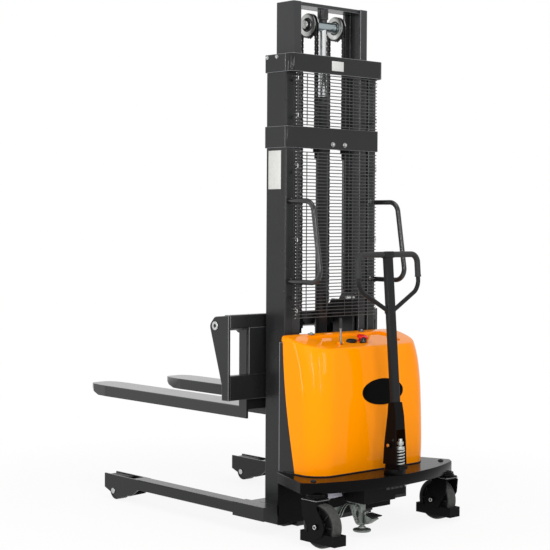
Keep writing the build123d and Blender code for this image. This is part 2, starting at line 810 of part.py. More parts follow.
with BuildPart() as return_spring:
    with BuildLine() as wire_line:
        first, first_heading = winding(0)
        setback = end_bend * (1 - math.sin(climb))
        low_bend = Vector(first.X, first.Y - setback, spring_low + end_straight)
        Line(low_bend - Vector(0, 0, end_straight), low_bend)
        TangentArc(low_bend, first, tangent=(0, 0, 1))
        for quarter in range(4 * spring_turns):
            here, way_here = winding(quarter / 4)
            there, way_there = winding((quarter + 1) / 4)
            chord = there - here
            both = way_here + way_there
            spread = 2 * (1 - way_here.dot(way_there))
            reach = math.sqrt(chord.dot(both) ** 2 + spread * chord.dot(chord)) - chord.dot(both)
            reach = reach / spread
            joint = (here + there + (way_here - way_there) * reach) * 0.5
            way_joint = (there - way_there * reach) - (here + way_here * reach)
            TangentArc(here, joint, tangent=way_here)
            TangentArc(joint, there, tangent=way_joint.normalized())
        last, last_heading = winding(spring_turns)
        high_bend = Vector(
            last.X, last.Y + end_bend * (1 - math.sin(climb)), last.Z + end_bend * math.cos(climb)
        )
        TangentArc(last, high_bend, tangent=last_heading)
        Line(high_bend, Vector(high_bend.X, high_bend.Y, spring_high))
    with BuildSketch(Plane(origin=low_bend - Vector(0, 0, end_straight), z_dir=(0, 0, 1))):
        Circle(spring_wire)
    sweep(path=wire_line.wire())
samples = [winding(step / 40)[0] for step in range(40 * spring_turns + 1)]
least = min(
    (samples[i] - samples[j]).length - 2 * spring_wire
    for i in range(len(samples))
    for j in range(i + 20, len(samples))
)
print("return spring: least gap between turns", round(least, 2), "mm")
keep(return_spring, "return_spring")

# tiller arm: yoke, tube and handle loop, all leaning forward together
lean = math.radians(arm_lean)
arm_dir = (0, math.sin(lean), math.cos(lean))


def arm_plane(along):
    """A plane square to the arm, this far up from the foot of its middle line."""
    return Plane(
        origin=(0, fwd(arm_fwd) + along * arm_dir[1], arm_foot + along * arm_dir[2]), x_dir=(1, 0, 0), z_dir=arm_dir
    )


yoke_high = 168.0
tube_high = 778.0
yoke_low = 302.0
yoke_open = 450.0
with BuildPart() as tiller_yoke:
    for height, half, rear, front in (
        (yoke_low, cheek_outer, -105, -28),
        (400, cheek_outer, -100, -36),
        (510, 26, -94, -46),
        (580, 24.5, -80, -51),
    ):
        with BuildSketch(Plane.XY.offset(height)):
            with Locations((0, fwd((rear + front) / 2))):
                Rectangle(2 * half, front - rear)
    loft(ruled=True)
    with BuildSketch(arm_plane(yoke_high)):
        Rectangle(4 * arm_width, 4 * arm_width)
    extrude(amount=40, mode=Mode.SUBTRACT)
    bar(-cheek_inner, cheek_inner, -130, 0, yoke_low - 10, yoke_open, Mode.SUBTRACT)
    rod_x(-80, 80, tilt_fwd, tilt_z, tilt_pin_radius + running_gap, Mode.SUBTRACT)
keep(tiller_yoke, "tiller_yoke")

with BuildPart() as tiller_tube:
    with BuildSketch(arm_plane(yoke_high)):
        RectangleRounded(arm_width, arm_depth, 6)
        RectangleRounded(arm_width - 8, arm_depth - 8, 3, mode=Mode.SUBTRACT)
    extrude(amount=tube_high - yoke_high)
keep(tiller_tube, "tiller_tube")

loop_plane = Plane(origin=(0, fwd(arm_fwd), arm_foot), x_dir=(1, 0, 0), z_dir=(0, -math.cos(lean), math.sin(lean)))
loop_half = 182.0
with BuildPart() as tiller_loop:
    with BuildLine(loop_plane) as loop_line:
        FilletPolyline(
            (12, 551),
            (loop_half, 645),
            (loop_half, tube_high + loop_radius),
            (-loop_half, tube_high + loop_radius),
            (-loop_half, 645),
            (-12, 551),
            radius=40,
        )
    with BuildSketch(Plane(origin=loop_line.wire() @ 0, z_dir=loop_line.wire() % 0)):
        Circle(loop_radius)
    sweep(path=loop_line.wire())
    with BuildSketch(arm_plane(yoke_high)):
        Rectangle(arm_width, arm_depth + 30)
    extrude(amount=tube_high - yoke_high, mode=Mode.SUBTRACT)
keep(tiller_loop, "tiller_loop")

# floor lock
with BuildPart() as lock_bracket:
    bar(lock_x - 45, lock_x + 45, lock_fwd - 36, lock_fwd + 36, 144, 150)
    for side in (-1, 1):
        bar(lock_x + side * 22, lock_x + side * 28, lock_fwd - 16, lock_fwd + 16, 74, 144)
    bar(lock_x - 22, lock_x + 22, lock_fwd - 16, lock_fwd + 16, 74, 118)
    rod_z(lock_x, lock_fwd, 60, 140, 11.1, Mode.SUBTRACT)
    with Locations(Location((lock_x, fwd(lock_fwd - 26), 100), (90, 0, 0))):
        Cylinder(6, 20)
keep(lock_bracket, "lock_bracket")

with BuildPart() as lock_plunger:
    rod_z(lock_x, lock_fwd, 30, 132, 11)
    rod_z(lock_x, lock_fwd, 22, 30, 36)
    fillet(lock_plunger.edges().filter_by(GeomType.CIRCLE).group_by(Axis.Z)[1][-1:], 4)
keep(lock_plunger, "lock_plunger")

pedal_fwd = lock_fwd - 19
pedal_z = 100.0
pedal_plane = Plane(origin=(lock_x, fwd(pedal_fwd), pedal_z), x_dir=(1, 0, 0), z_dir=(0, -1, 0))
pedal_arms = ((68, -16), (122, 172))
with BuildPart() as lock_pedal:
    with BuildSketch(pedal_plane):
        Circle(13)
        for reach, turn in pedal_arms:
            Rectangle(reach, 12, rotation=turn, align=(Align.MIN, Align.CENTER))
    extrude(amount=12)
    for reach, turn in pedal_arms:
        tread = Plane(
            origin=(lock_x + reach * math.cos(math.radians(turn)), fwd(pedal_fwd - 12),
                    pedal_z + reach * math.sin(math.radians(turn))),
            x_dir=(math.cos(math.radians(turn)), 0, math.sin(math.radians(turn))),
            z_dir=(-math.sin(math.radians(turn)), 0, math.cos(math.radians(turn))),
        )
        with BuildSketch(tread):
            RectangleRounded(46, 54, 6)
        extrude(amount=3, both=True)
    with BuildSketch(pedal_plane):
        Circle(6.05)
    extrude(amount=40, both=True, mode=Mode.SUBTRACT)
keep(lock_pedal, "lock_pedal")


# controls in the dish of the cover
def dish_plane(x, distance, lift=0.0):
    """A plane lying on the floor of the cover's dish, or this far above it."""
    return Plane(
        origin=(x, fwd(distance), ridge(distance) - dish_depth / math.cos(ridge_angle)),
        x_dir=(1, 0, 0),
        z_dir=(0, -math.sin(ridge_angle), math.cos(ridge_angle)),
    ).offset(lift)


lever_x = -130.0
lever_fwd = 133.0
lever_pivot = 9.0
lever_grip = 8.0
stop_x = 26.0
stop_fwd = 158.0
stop_stem = 9.0
stop_radius = 25.0
stop_low = 14.5
key_x = 0.0
key_fwd = 125.0
key_lift = 13.0
key_radius = 12.5
key_turn = math.radians(50)
with BuildPart() as switch_bodies:
    with BuildSketch(dish_plane(lever_x, lever_fwd)):
        with GridLocations(22, 1, 2, 1):
            Rectangle(6, 18)
    extrude(amount=lever_pivot + 6)
    key_face = Plane(
        origin=dish_plane(key_x, key_fwd, key_lift).origin,
        x_dir=(1, 0, 0),
        z_dir=(0, -math.sin(key_turn), math.cos(key_turn)),
    )
    with BuildSketch(key_face):
        Circle(key_radius)
    extrude(amount=-30)
    with BuildSketch(dish_plane(0, 140)):
        Rectangle(120, 120)
    extrude(amount=-40, mode=Mode.SUBTRACT)
    with BuildSketch(dish_plane(-36, 160)):
        Ellipse(28, 17)
    extrude(amount=11)
    with BuildSketch(dish_plane(stop_x, stop_fwd)):
        Circle(15)
        Circle(stop_stem + running_gap, mode=Mode.SUBTRACT)
    extrude(amount=9)
keep(switch_bodies, "switch_bodies")

lever_foot = dish_plane(lever_x, lever_fwd, lever_pivot).origin
with BuildPart() as lift_lever:
    with Locations(Location(lever_foot, (0, 90, 0))):
        Cylinder(6, 15)
    with Locations((lever_foot.X, lever_foot.Y, (lever_foot.Z + 874) / 2)):
        Cylinder(4.5, 874 - lever_foot.Z)
    rod_z(lever_x, lever_fwd, 866, 914, lever_grip)
    fillet(lift_lever.edges().filter_by(GeomType.CIRCLE).group_by(Axis.Z)[-1], 5)
keep(lift_lever, "lift_lever")

with BuildPart() as estop_button:
    with BuildSketch(dish_plane(stop_x, stop_fwd, stop_low)):
        Circle(stop_radius)
    extrude(amount=14)
    fillet(estop_button.edges().filter_by(GeomType.CIRCLE).group_by(Axis.Z)[-1], 7)
    with BuildSketch(dish_plane(stop_x, stop_fwd, 5.6)):
        Circle(stop_stem)
    extrude(amount=stop_low - 5.6)
keep(estop_button, "estop_button")

# small fasteners: deck dome bolts, beam bolts, cheek studs and cover screws
with BuildPart() as fasteners:
    for side in (-1, 1):
        rod_z(side * 391, 20, deck_high, deck_high + 6, 12)
        rod_z(side * 160, 250, ridge(250) + 0.5, ridge(250) + 9, 7)
        for stud_fwd in (352, 432):
            rod_x(side * (outer_half + cheek_plate), side * (outer_half + cheek_plate + 9), stud_fwd, 2022, 6)
    for bolt_x in (-5, 65):
        with Locations(Location((bolt_x, fwd(lower_rear - 5), 1655), (90, 0, 0))):
            Cylinder(8, 10)
keep(fasteners, "fasteners")
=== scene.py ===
"""Looks of a walk-behind stacker with a chain-lift mast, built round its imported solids.

Bare lengths are millimetres, which MM turns into the frame's metres. Places are Vectors in the frame, and the
properties and the stage are in metres too.
"""

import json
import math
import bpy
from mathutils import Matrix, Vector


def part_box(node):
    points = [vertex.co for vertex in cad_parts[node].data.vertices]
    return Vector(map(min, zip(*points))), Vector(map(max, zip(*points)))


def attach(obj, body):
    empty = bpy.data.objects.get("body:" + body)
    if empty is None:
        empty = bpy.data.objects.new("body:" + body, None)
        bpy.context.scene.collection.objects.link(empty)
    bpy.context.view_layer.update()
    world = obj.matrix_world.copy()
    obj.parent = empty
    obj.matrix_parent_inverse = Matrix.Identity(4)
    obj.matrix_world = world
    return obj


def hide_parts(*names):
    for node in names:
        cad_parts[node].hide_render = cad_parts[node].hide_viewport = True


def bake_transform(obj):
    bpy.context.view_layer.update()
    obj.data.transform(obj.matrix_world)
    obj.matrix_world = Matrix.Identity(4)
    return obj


bl_info = {
    "name": "Stacker looks",
    "version": (1, 1, 0),
    "blender": (4, 5, 0),
    "location": "View3D > Sidebar > Stacker",
    "description": "Finishes, small pieces and stage of a walk-behind stacker",
    "category": "Object",
}

import bpy
from bpy.props import FloatProperty, FloatVectorProperty, IntProperty, PointerProperty
from mathutils import Matrix, Vector

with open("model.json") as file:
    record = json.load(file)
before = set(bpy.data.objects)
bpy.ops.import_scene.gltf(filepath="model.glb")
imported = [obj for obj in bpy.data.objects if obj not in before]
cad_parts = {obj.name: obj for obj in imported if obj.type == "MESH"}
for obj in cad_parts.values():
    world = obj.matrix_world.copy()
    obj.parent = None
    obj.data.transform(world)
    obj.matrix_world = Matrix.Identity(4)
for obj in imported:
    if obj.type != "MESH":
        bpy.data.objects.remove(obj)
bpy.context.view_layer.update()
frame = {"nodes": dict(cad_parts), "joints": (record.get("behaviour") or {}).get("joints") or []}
JOINTS = {joint["name"]: joint for joint in frame["joints"]}


def pivot(name):
    """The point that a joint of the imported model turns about."""
    return Vector(JOINTS[name]["pos_m"])


MM = 0.001
MERGE = 0.01 * MM
SIDES = (-1, 1)
HANDS = ("left", "right")
TURNED_ANGLE = 32
WIRE_ANGLE = 50
UP = Vector((0, 0, 1))
ACROSS = Vector((1, 0, 0))
FORWARD = Vector((0, 1, 0))
REARWARD = Vector((0, -1, 0))
SWIVEL_Y = pivot("left_castor_swivel").y
SHEAVE = pivot("left_sheave_spin")
LID_OUT = -Vector(JOINTS["stop_press"]["axis"]).normalized()
LID_ALONG = Vector((0, LID_OUT.z, -LID_OUT.y))
LID_REAR = 80
LID_REAR_HEIGHT = 792
DISH_DEPTH = 8
ARM_FOOT = (-80, 395)
ARM_LEAN = math.radians(4.6)
ARM_UP = Vector((0, math.sin(ARM_LEAN), math.cos(ARM_LEAN)))
ARM_OUT = Vector((0, math.cos(ARM_LEAN), -math.sin(ARM_LEAN)))


def at(x, ahead, z):
    """A place whose second number counts forward of the line through both castor swivels."""
    return Vector((x * MM, SWIVEL_Y + ahead * MM, z * MM))


def along_side(x, outline):
    """The places of an outline of distance ahead and height, on a plane along the stacker."""
    return [at(x, ahead, z) for ahead, z in outline]


def across_rear(ahead, outline):
    """The places of an outline of x and height, on a plane across the stacker."""
    return [at(x, ahead, z) for x, z in outline]


def lid(x, ahead, lift=0):
    """A place on the sloping plane of the cover's lid, or this far out of it."""
    height = LID_REAR_HEIGHT - (ahead - LID_REAR) * LID_OUT.y / LID_OUT.z
    return at(x, ahead, height) + LID_OUT * (lift * MM)


def dish(x, ahead, lift=0):
    """A place on the floor of the dish in the lid, or this far out of it."""
    return lid(x, ahead, lift) - UP * (DISH_DEPTH * MM / LID_OUT.z)


def on_arm(x, along):
    """A place on the tiller arm's middle plane, this far up from its foot."""
    return at(x, *ARM_FOOT) + ARM_UP * (along * MM)


class StackerColours(bpy.types.PropertyGroup):
    """Base colours of the stacker's finishes, linear."""

    mast: FloatVectorProperty(
        name="Mast enamel", description="Dark grey of mast, forks and legs", subtype="COLOR",
        default=(0.0165, 0.0168, 0.0176))
    deck: FloatVectorProperty(
        name="Deck enamel", description="Black of deck, yoke and castor forks", subtype="COLOR",
        default=(0.0030, 0.0030, 0.0032))
    cover: FloatVectorProperty(
        name="Cover", description="Orange of the moulded cover", subtype="COLOR",
        default=(1.0, 0.284, 0.0))
    tread: FloatVectorProperty(
        name="Castor tread", description="Grey of the castor treads", subtype="COLOR",
        default=(0.046, 0.048, 0.045))
    stop: FloatVectorProperty(
        name="Stop button", description="Red of the stop button", subtype="COLOR",
        default=(0.82, 0.012, 0.008))


class StackerSizes(bpy.types.PropertyGroup):
    """Sizes of the small pieces that the solids leave plain."""

    wire: FloatProperty(
        name="Guard wire", description="Diameter of the guard's wires", unit="LENGTH", default=0.0046)
    wire_pitch: FloatProperty(
        name="Wire pitch", description="Height from one cross wire to the next", unit="LENGTH",
        default=0.0145)
    chain_pitch: FloatProperty(
        name="Chain pitch", description="Length of one chain link", unit="LENGTH", default=0.0127)
    grip: FloatProperty(
        name="Grip radius", description="Radius of the tiller's grips", unit="LENGTH", default=0.0128)
    loop_tube: FloatProperty(
        name="Loop radius", description="Radius of the tiller loop's tube", unit="LENGTH", default=0.0095)
    turn_steps: IntProperty(
        name="Turning steps", description="Sides of a turned piece", default=48, min=12)


class StackerStage(bpy.types.PropertyGroup):
    """Camera and lights."""

    camera: FloatVectorProperty(
        name="Camera", description="Where the camera stands", subtype="TRANSLATION",
        default=(-4.4173, SWIVEL_Y - 4.1812, 1.3154))
    heading: FloatProperty(
        name="Heading", description="Turn of the view to the right of the forks", subtype="ANGLE",
        default=math.radians(42.2))
    pitch: FloatProperty(
        name="Pitch", description="How far the view looks down", subtype="ANGLE", default=math.radians(2.09))
    roll: FloatProperty(
        name="Roll", description="Tilt of the camera about its view", subtype="ANGLE",
        default=math.radians(0.29))
    lens: FloatProperty(
        name="Lens", description="Focal length in millimetres on a 36 mm sensor", default=93.95)
    key_power: FloatProperty(
        name="Key lamp", description="Power of the large lamp", unit="POWER", default=28.0)
    fill_power: FloatProperty(
        name="Fill lamp", description="Power of the fill lamp", unit="POWER", default=56.0)
    top_power: FloatProperty(
        name="Top lamp", description="Power of the lamp overhead", unit="POWER", default=34.0)
    line_power: FloatProperty(
        name="Line lamps", description="Power of the narrow lamps", unit="POWER", default=32.0)
    strip_power: FloatProperty(
        name="Strip lamps", description="Power of the tall thin lamps", unit="POWER", default=34.0)
    sky: FloatProperty(
        name="Sky", description="Strength of the light from all round", default=0.66)


def colours():
    """The colours that the user can change."""
    return bpy.context.scene.stacker_colours


def sizes():
    """The sizes that the user can change."""
    return bpy.context.scene.stacker_sizes


class Value:
    """A shader socket that Python sums can be written with."""

    def __init__(self, nodes, socket):
        self.nodes = nodes
        self.socket = socket

    def maths(self, operation, left, right=None):
        """One Math node on one or two values."""
        sockets = {0: left} if right is None else {0: left, 1: right}
        return self.nodes.add("ShaderNodeMath", {"operation": operation}, sockets)

    def __add__(self, other):
        return self.maths("ADD", self, other)

    __radd__ = __add__

    def __sub__(self, other):
        return self.maths("SUBTRACT", self, other)

    def __rsub__(self, other):
        return self.maths("SUBTRACT", other, self)

    def __mul__(self, other):
        return self.maths("MULTIPLY", self, other)

    __rmul__ = __mul__

    def __abs__(self):
        return self.maths("ABSOLUTE", self)

    def most(self, other):
        """The greater of two values."""
        return self.maths("MAXIMUM", self, other)

    def step(self, low, high):
        """0 below low, 1 above high, and a smooth rise between."""
        settings = {"interpolation_type": "SMOOTHSTEP", "clamp": True}
        sockets = {"Value": self, "From Min": low, "From Max": high}
        return self.nodes.add("ShaderNodeMapRange", settings, sockets)


class Nodes:
    """A node tree, filled from empty."""

    def __init__(self, tree):
        self.tree = tree
        tree.nodes.clear()

    def add(self, kind, settings, sockets, output=0):
        """Add one node: its settings first, then the values or links of its sockets."""
        node = self.tree.nodes.new(kind)
        for setting, value in settings.items():
            setattr(node, setting, value)
        for socket, value in sockets.items():
            if isinstance(value, Value):
                self.tree.links.new(value.socket, node.inputs[socket])
            else:
                node.inputs[socket].default_value = value
        return Value(self, node.outputs[output]) if node.outputs else None

    def coordinates(self):
        """The coordinates of the piece that is shaded."""
        return self.add("ShaderNodeTexCoord", {}, {}, "Object")

    def seen(self):
        """1 for rays that the camera, a gloss or a glass sends out, and 0 for the rest."""
        camera = self.add("ShaderNodeLightPath", {}, {}, "Is Camera Ray")
        gloss = self.add("ShaderNodeLightPath", {}, {}, "Is Glossy Ray")
        glass = self.add("ShaderNodeLightPath", {}, {}, "Is Transmission Ray")
        return camera.most(gloss).most(glass)


class Finish(Nodes):
    """One procedural material, read on the piece's own coordinates."""

    def __init__(self, constants):
        self.material = bpy.data.materials.new("finish")
        self.material.use_nodes = True
        super().__init__(self.material.node_tree)
        surface = self.add("ShaderNodeBsdfPrincipled", {}, constants)
        self.shader = surface.socket.node
        self.add("ShaderNodeOutputMaterial", {}, {"Surface": surface})
        self.where = self.coordinates()

    def axis(self, index):
        """One of the three coordinates of the piece."""
        return self.add("ShaderNodeSeparateXYZ", {}, {"Vector": self.where}, index)

    def stretched(self, scale):
        """The piece's coordinates, scaled along each axis."""
        return self.add("ShaderNodeVectorMath", {"operation": "MULTIPLY"}, {0: self.where, 1: scale})

    def noise(self, scale, detail, where=None):
        """Cloudy noise from 0 to 1."""
        sockets = {"Vector": where or self.where, "Scale": scale, "Detail": detail, "Roughness": 0.55}
        return self.add("ShaderNodeTexNoise", {}, sockets)

    def cells(self, scale):
        """Distance to the middle of the nearest of many small cells."""
        return self.add("ShaderNodeTexVoronoi", {}, {"Vector": self.where, "Scale": scale})

    def mix(self, share, first, second):
        """A colour between two colours, which are the node's sockets 6 and 7."""
        sockets = {"Factor": share, 6: first, 7: second}
        return self.add("ShaderNodeMix", {"data_type": "RGBA"}, sockets, 2)

    def feed(self, socket, value):
        """Link a value to a socket of the surface shader."""
        self.tree.links.new(value.socket, self.shader.inputs[socket])

    def bump(self, height, depth):
        """Raise the surface by height times depth."""
        bumped = self.add("ShaderNodeBump", {}, {"Strength": 1.0, "Distance": depth * MM, "Height": height})
        self.feed("Normal", bumped)


METAL = {"Metallic": 1.0}
WHITE = (1, 1, 1, 1)
FLOOR_GREY = (0.86, 0.86, 0.86, 1)
DUST = (0.07, 0.067, 0.062, 1)
BARE_STEEL = (0.62, 0.63, 0.61, 1)


def coat(index, sheen):
    """Constants of a finish that isn't metal: its refractive index and how much it shines."""
    return {"IOR": index, "Specular IOR Level": sheen}


def shade(colour, factor=1):
    """A colour made lighter or darker, with full alpha."""
    return (colour[0] * factor, colour[1] * factor, colour[2] * factor, 1.0)


def enamel(colour, gloss, peel, sheen, soil=0.06):
    """Sprayed enamel: faint cloudy tone, orange peel and a little dust low down."""
    finish = Finish(coat(1.5, sheen))
    clouds = finish.noise(3.5, 4)
    specks = finish.noise(160, 2)
    dust = (1 - finish.axis(2).step(0.0, 0.30)) * specks.step(0.50, 0.80) * soil
    tone = finish.mix(clouds, shade(colour, 0.84), shade(colour, 1.16))
    finish.feed("Base Color", finish.mix(dust, tone, DUST))
    finish.feed("Roughness", gloss + (clouds - 0.5) * 0.10 + dust * 0.25)
    finish.bump(finish.noise(620, 1.5), peel)
    return finish


def blotched(constants, dark, light, scale, gloss, spread):
    """A finish that wanders between two tones, rougher where it is lighter."""
    finish = Finish(constants)
    blotches = finish.noise(scale, 4)
    finish.feed("Base Color", finish.mix(blotches, shade(dark), shade(light)))
    finish.feed("Roughness", gloss + blotches * spread)
    return finish


def mottled(constants, dark, light, scale, gloss, spread, grain, depth=0.1):
    """A blotched finish over a fine grain."""
    finish = blotched(constants, dark, light, scale, gloss, spread)
    finish.bump(finish.noise(grain, 2), depth)
    return finish


def moulded(constants, dark, light, scale, gloss, pebbles, depth):
    """A blotched plastic or rubber over moulded pebbles."""
    finish = blotched(constants, dark, light, scale, gloss, 0.14)
    finish.bump(finish.cells(pebbles), depth)
    return finish


def lined(dark, light, scale, stretch, gloss):
    """Bright steel with fine lines from turning or grinding."""
    finish = Finish(METAL)
    lines = finish.noise(scale, 2, finish.stretched(stretch))
    finish.feed("Base Color", finish.mix(lines, shade(dark), shade(light)))
    finish.feed("Roughness", gloss + lines * 0.06)
    finish.bump(lines, 0.01)
    return finish


def mast_enamel():
    """Dark grey of the outer mast and the carriage."""
    return enamel(colours().mast, gloss=0.28, peel=0.12, sheen=0.26)


def inner_enamel():
    """The inner mast's enamel, a little lighter."""
    return enamel(shade(colours().mast, 1.6), gloss=0.26, peel=0.12, sheen=0.30)


def beam_enamel():
    """The crossbeams' enamel, darker and smoother."""
    return enamel(shade(colours().mast, 0.55), gloss=0.17, peel=0.04, sheen=0.30)


def leg_enamel():
    """The mast's enamel where it lies level: smoother, so that it shines at a low angle."""
    return enamel(shade(colours().mast, 0.8), gloss=0.20, peel=0.05, sheen=0.24, soil=0.02)


def gloss_enamel():
    """Clean and shining enamel of the forks and the grab handles."""
    return enamel(shade(colours().mast, 0.9), gloss=0.15, peel=0.05, sheen=0.44, soil=0)


def tiller_enamel():
    """Dull enamel of the tiller."""
    return enamel(shade(colours().mast, 0.85), gloss=0.26, peel=0.12, sheen=0.09)


def highlight_edge_enamel():
    """The mast's enamel made eight times lighter and smoother for the bevelled edges: a painted highlight
    along them.
    """
    return enamel(shade(colours().mast, 8.0), gloss=0.20, peel=0.05, sheen=0.7)


def black_enamel():
    """Black of the castor forks, the yoke and the fittings under the deck."""
    return enamel(colours().deck, gloss=0.36, peel=0.18, sheen=0.06)


def badge_black():
    """Deep black of the blank badge."""
    return enamel(shade(colours().deck, 0.4), gloss=0.24, peel=0.06, sheen=0.03)


def pump_enamel():
    """Grey enamel of the pump motor and its tank."""
    return enamel((0.06, 0.062, 0.066), gloss=0.38, peel=0.2, sheen=0.4)


def battery_case():
    """Dark plastic of the battery."""
    return enamel((0.03, 0.03, 0.034), gloss=0.5, peel=0.3, sheen=0.4)


def deck_enamel():
    """Black gloss enamel with hair scratches on the deck."""
    finish = Finish(coat(1.5, 0.045))
    clouds = finish.noise(5, 4)
    hairs = finish.noise(26, 2, finish.stretched((1, 14, 1)))
    scratches = hairs.step(0.62, 0.70) * 0.12
    finish.feed("Base Color", finish.mix(clouds, shade(colours().deck, 0.85), shade(colours().deck, 1.25)))
    finish.feed("Roughness", 0.13 + clouds * 0.06 + scratches)
    finish.bump(finish.noise(420, 1.5), 0.06)
    return finish


def cover_gel():
    """Glossy orange moulding with a faint ripple."""
    finish = Finish(coat(1.46, 0.10))
    red, green, blue = colours().cover
    deep = shade((red, green, blue), 0.97)
    pale = shade((red, green * 1.06, blue))
    finish.feed("Base Color", finish.mix(finish.noise(4, 3), deep, pale))
    finish.feed("Roughness", 0.045 + finish.noise(30, 3) * 0.03)
    finish.bump(finish.noise(14, 1), 0.18)
    return finish


def bright_zinc():
    """Bright plating on bolts, axles and chain wheels."""
    return mottled(
        METAL, (0.34, 0.35, 0.34), (0.60, 0.61, 0.59), scale=55, gloss=0.26, spread=0.18, grain=900)


def dull_zinc():
    """Plating that has gone dull."""
    return mottled(
        METAL, (0.16, 0.165, 0.16), (0.34, 0.35, 0.34), scale=48, gloss=0.34, spread=0.18, grain=700,
        depth=0.12)


def cast_zinc():
    """Cast and plated steel of the floor lock, spangled."""
    finish = Finish({"Metallic": 0.85})
    dark = shade((0.12, 0.134, 0.125))
    light = shade((0.25, 0.27, 0.25))
    finish.feed("Base Color", finish.mix(finish.noise(38, 4), dark, light))
    finish.feed("Roughness", 0.38 + finish.cells(260) * 0.12)
    finish.bump(finish.noise(500, 2), 0.14)
    return finish


def hard_chrome():
    """Ground and chromed rod."""
    return lined((0.62, 0.63, 0.64), (0.74, 0.75, 0.76), scale=900, stretch=(0.05, 0.05, 1), gloss=0.20)


def blued_steel():
    """Turned steel with a faint blue cast."""
    return lined((0.27, 0.32, 0.34), (0.38, 0.43, 0.45), scale=700, stretch=(1, 0.05, 0.05), gloss=0.22)


def spring_steel():
    """Half-bright steel of the tiller's spring."""
    return mottled(
        {"Metallic": 0.6}, (0.30, 0.32, 0.30), (0.50, 0.52, 0.50), scale=90, gloss=0.30, spread=0.15,
        grain=800)


def oiled_chain():
    """Dark steel under a film of oil."""
    return mottled(
        METAL, (0.016, 0.016, 0.0165), (0.085, 0.085, 0.083), scale=120, gloss=0.30, spread=0.25, grain=700)


def yellow_brass():
    """Brass of the tiller pin's faces."""
    return mottled(
        METAL, (0.52, 0.31, 0.07), (0.80, 0.55, 0.18), scale=120, gloss=0.24, spread=0.18, grain=900)


def grained_black():
    """Black plastic with a fine moulded grain."""
    return moulded(
        coat(1.48, 0.25), (0.005, 0.005, 0.0052), (0.011, 0.011, 0.0115), scale=18, gloss=0.40, pebbles=950,
        depth=0.2)


def grip_rubber():
    """Soft dark rubber of the grips, pebbled."""
    return moulded(
        coat(1.46, 0.32), (0.014, 0.0145, 0.0148), (0.022, 0.0225, 0.023), scale=24, gloss=0.46, pebbles=620,
        depth=0.25)


def dark_nylon():
    """Black nylon of the rollers, shoes and castor hubs."""
    return mottled(
        coat(1.5, 0.2), (0.0045, 0.0045, 0.0047), (0.011, 0.011, 0.0115), scale=140, gloss=0.38, spread=0.18,
        grain=300)


def grey_tread():
    """Grey elastic tread, scuffed where it rolls."""
    finish = Finish(coat(1.47, 0.22))
    scuffs = finish.noise(90, 4)
    base = colours().tread
    finish.feed("Base Color", finish.mix(scuffs.step(0.35, 0.7), shade(base, 0.85), shade(base, 1.2)))
    finish.feed("Roughness", 0.46 + scuffs * 0.2)
    finish.bump(scuffs, 0.3)
    return finish


def signal_red():
    """Red plastic of the stop button."""
    finish = Finish(coat(1.48, 0.22))
    clouds = finish.noise(60, 3)
    finish.feed("Base Color", finish.mix(clouds, shade(colours().stop, 0.88), shade(colours().stop, 1.08)))
    finish.feed("Roughness", 0.22 + clouds * 0.10)
    finish.bump(finish.noise(800, 1), 0.08)
    return finish


def pale_plate():
    """Pale foil of the blank plates on the mast."""
    return mottled(
        {"IOR": 1.46}, (0.62, 0.63, 0.60), (0.50, 0.50, 0.48), scale=70, gloss=0.36, spread=0.18, grain=600,
        depth=0.06)


def lilac_plate():
    """Lilac foil of the blank plate under the deck."""
    return mottled(
        {"IOR": 1.46}, (0.66, 0.64, 0.74), (0.58, 0.56, 0.66), scale=70, gloss=0.34, spread=0.16, grain=600,
        depth=0.06)


def smoked_lens():
    """Dark clear plastic over the gauge."""
    constants = {"IOR": 1.5, "Coat Weight": 0.5, "Coat Roughness": 0.04}
    return mottled(
        constants, (0.006, 0.007, 0.008), (0.014, 0.016, 0.017), scale=80, gloss=0.10, spread=0.06, grain=40,
        depth=0.05)


def guard_wire():
    """Dark enamel on the guard's wires, with bright bare steel on their cut ends: partly wear and partly a
    painted highlight.
    """
    finish = Finish(coat(1.5, 0.3))
    wire_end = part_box("mesh_guard")[1].x
    # The last millimetre of each wire's end turns to bright bare steel: wear and a painted highlight of the
    # cut ends.
    worn_and_glinting_tips = abs(finish.axis(0)).step(wire_end - 1.4 * MM, wire_end - 0.4 * MM)
    clouds = finish.noise(40, 3)
    tone = finish.mix(clouds, shade(colours().mast, 2.2), shade(colours().mast, 3.6))
    finish.feed("Base Color", finish.mix(worn_and_glinting_tips, tone, BARE_STEEL))
    finish.feed("Metallic", worn_and_glinting_tips * 0.6)
    finish.feed("Roughness", 0.34 + clouds * 0.1)
    finish.bump(finish.noise(500, 1.5), 0.1)
    return finish


FINISHES = {}


def finished(maker):
    """The material that a maker function gives, made once and named for it."""
    if maker not in FINISHES:
        material = maker().material
        material.name = maker.__name__
        FINISHES[maker] = material
    return FINISHES[maker]


def rest():
    """Leave edit mode and select nothing."""
    if bpy.context.mode != "OBJECT":
        bpy.ops.object.mode_set(mode="OBJECT")
    bpy.ops.object.select_all(action="DESELECT")


def activate(piece):
    """Select one piece and nothing else."""
    rest()
    piece.select_set(True)
    bpy.context.view_layer.objects.active = piece


def edit_all(piece):
    """Open a piece in edit mode with all of it selected."""
    activate(piece)
    bpy.ops.object.mode_set(mode="EDIT")
    bpy.ops.mesh.select_all(action="SELECT")


def settle(piece, name):
    """Name a piece and put its place into its mesh."""
    piece.name = name
    piece.data.name = name
    activate(piece)
    bpy.ops.object.transform_apply(location=True, rotation=True, scale=True)
    return piece


def block(name, low, high):
    """A box between two corners, ready for shaping."""
    rest()
    bpy.ops.mesh.primitive_cube_add(size=1, location=(low + high) / 2)
    bpy.context.object.scale = high - low
    return settle(bpy.context.object, name)


def rod(name, start, end, radius, sides=24):
    """A round bar from one place to another."""
    rest()
    along = end - start
    turn = along.to_track_quat("Z", "Y").to_euler()
    bpy.ops.mesh.primitive_cylinder_add(
        vertices=sides, radius=radius * MM, depth=along.length, location=(start + end) / 2, rotation=turn)
    return settle(bpy.context.object, name)


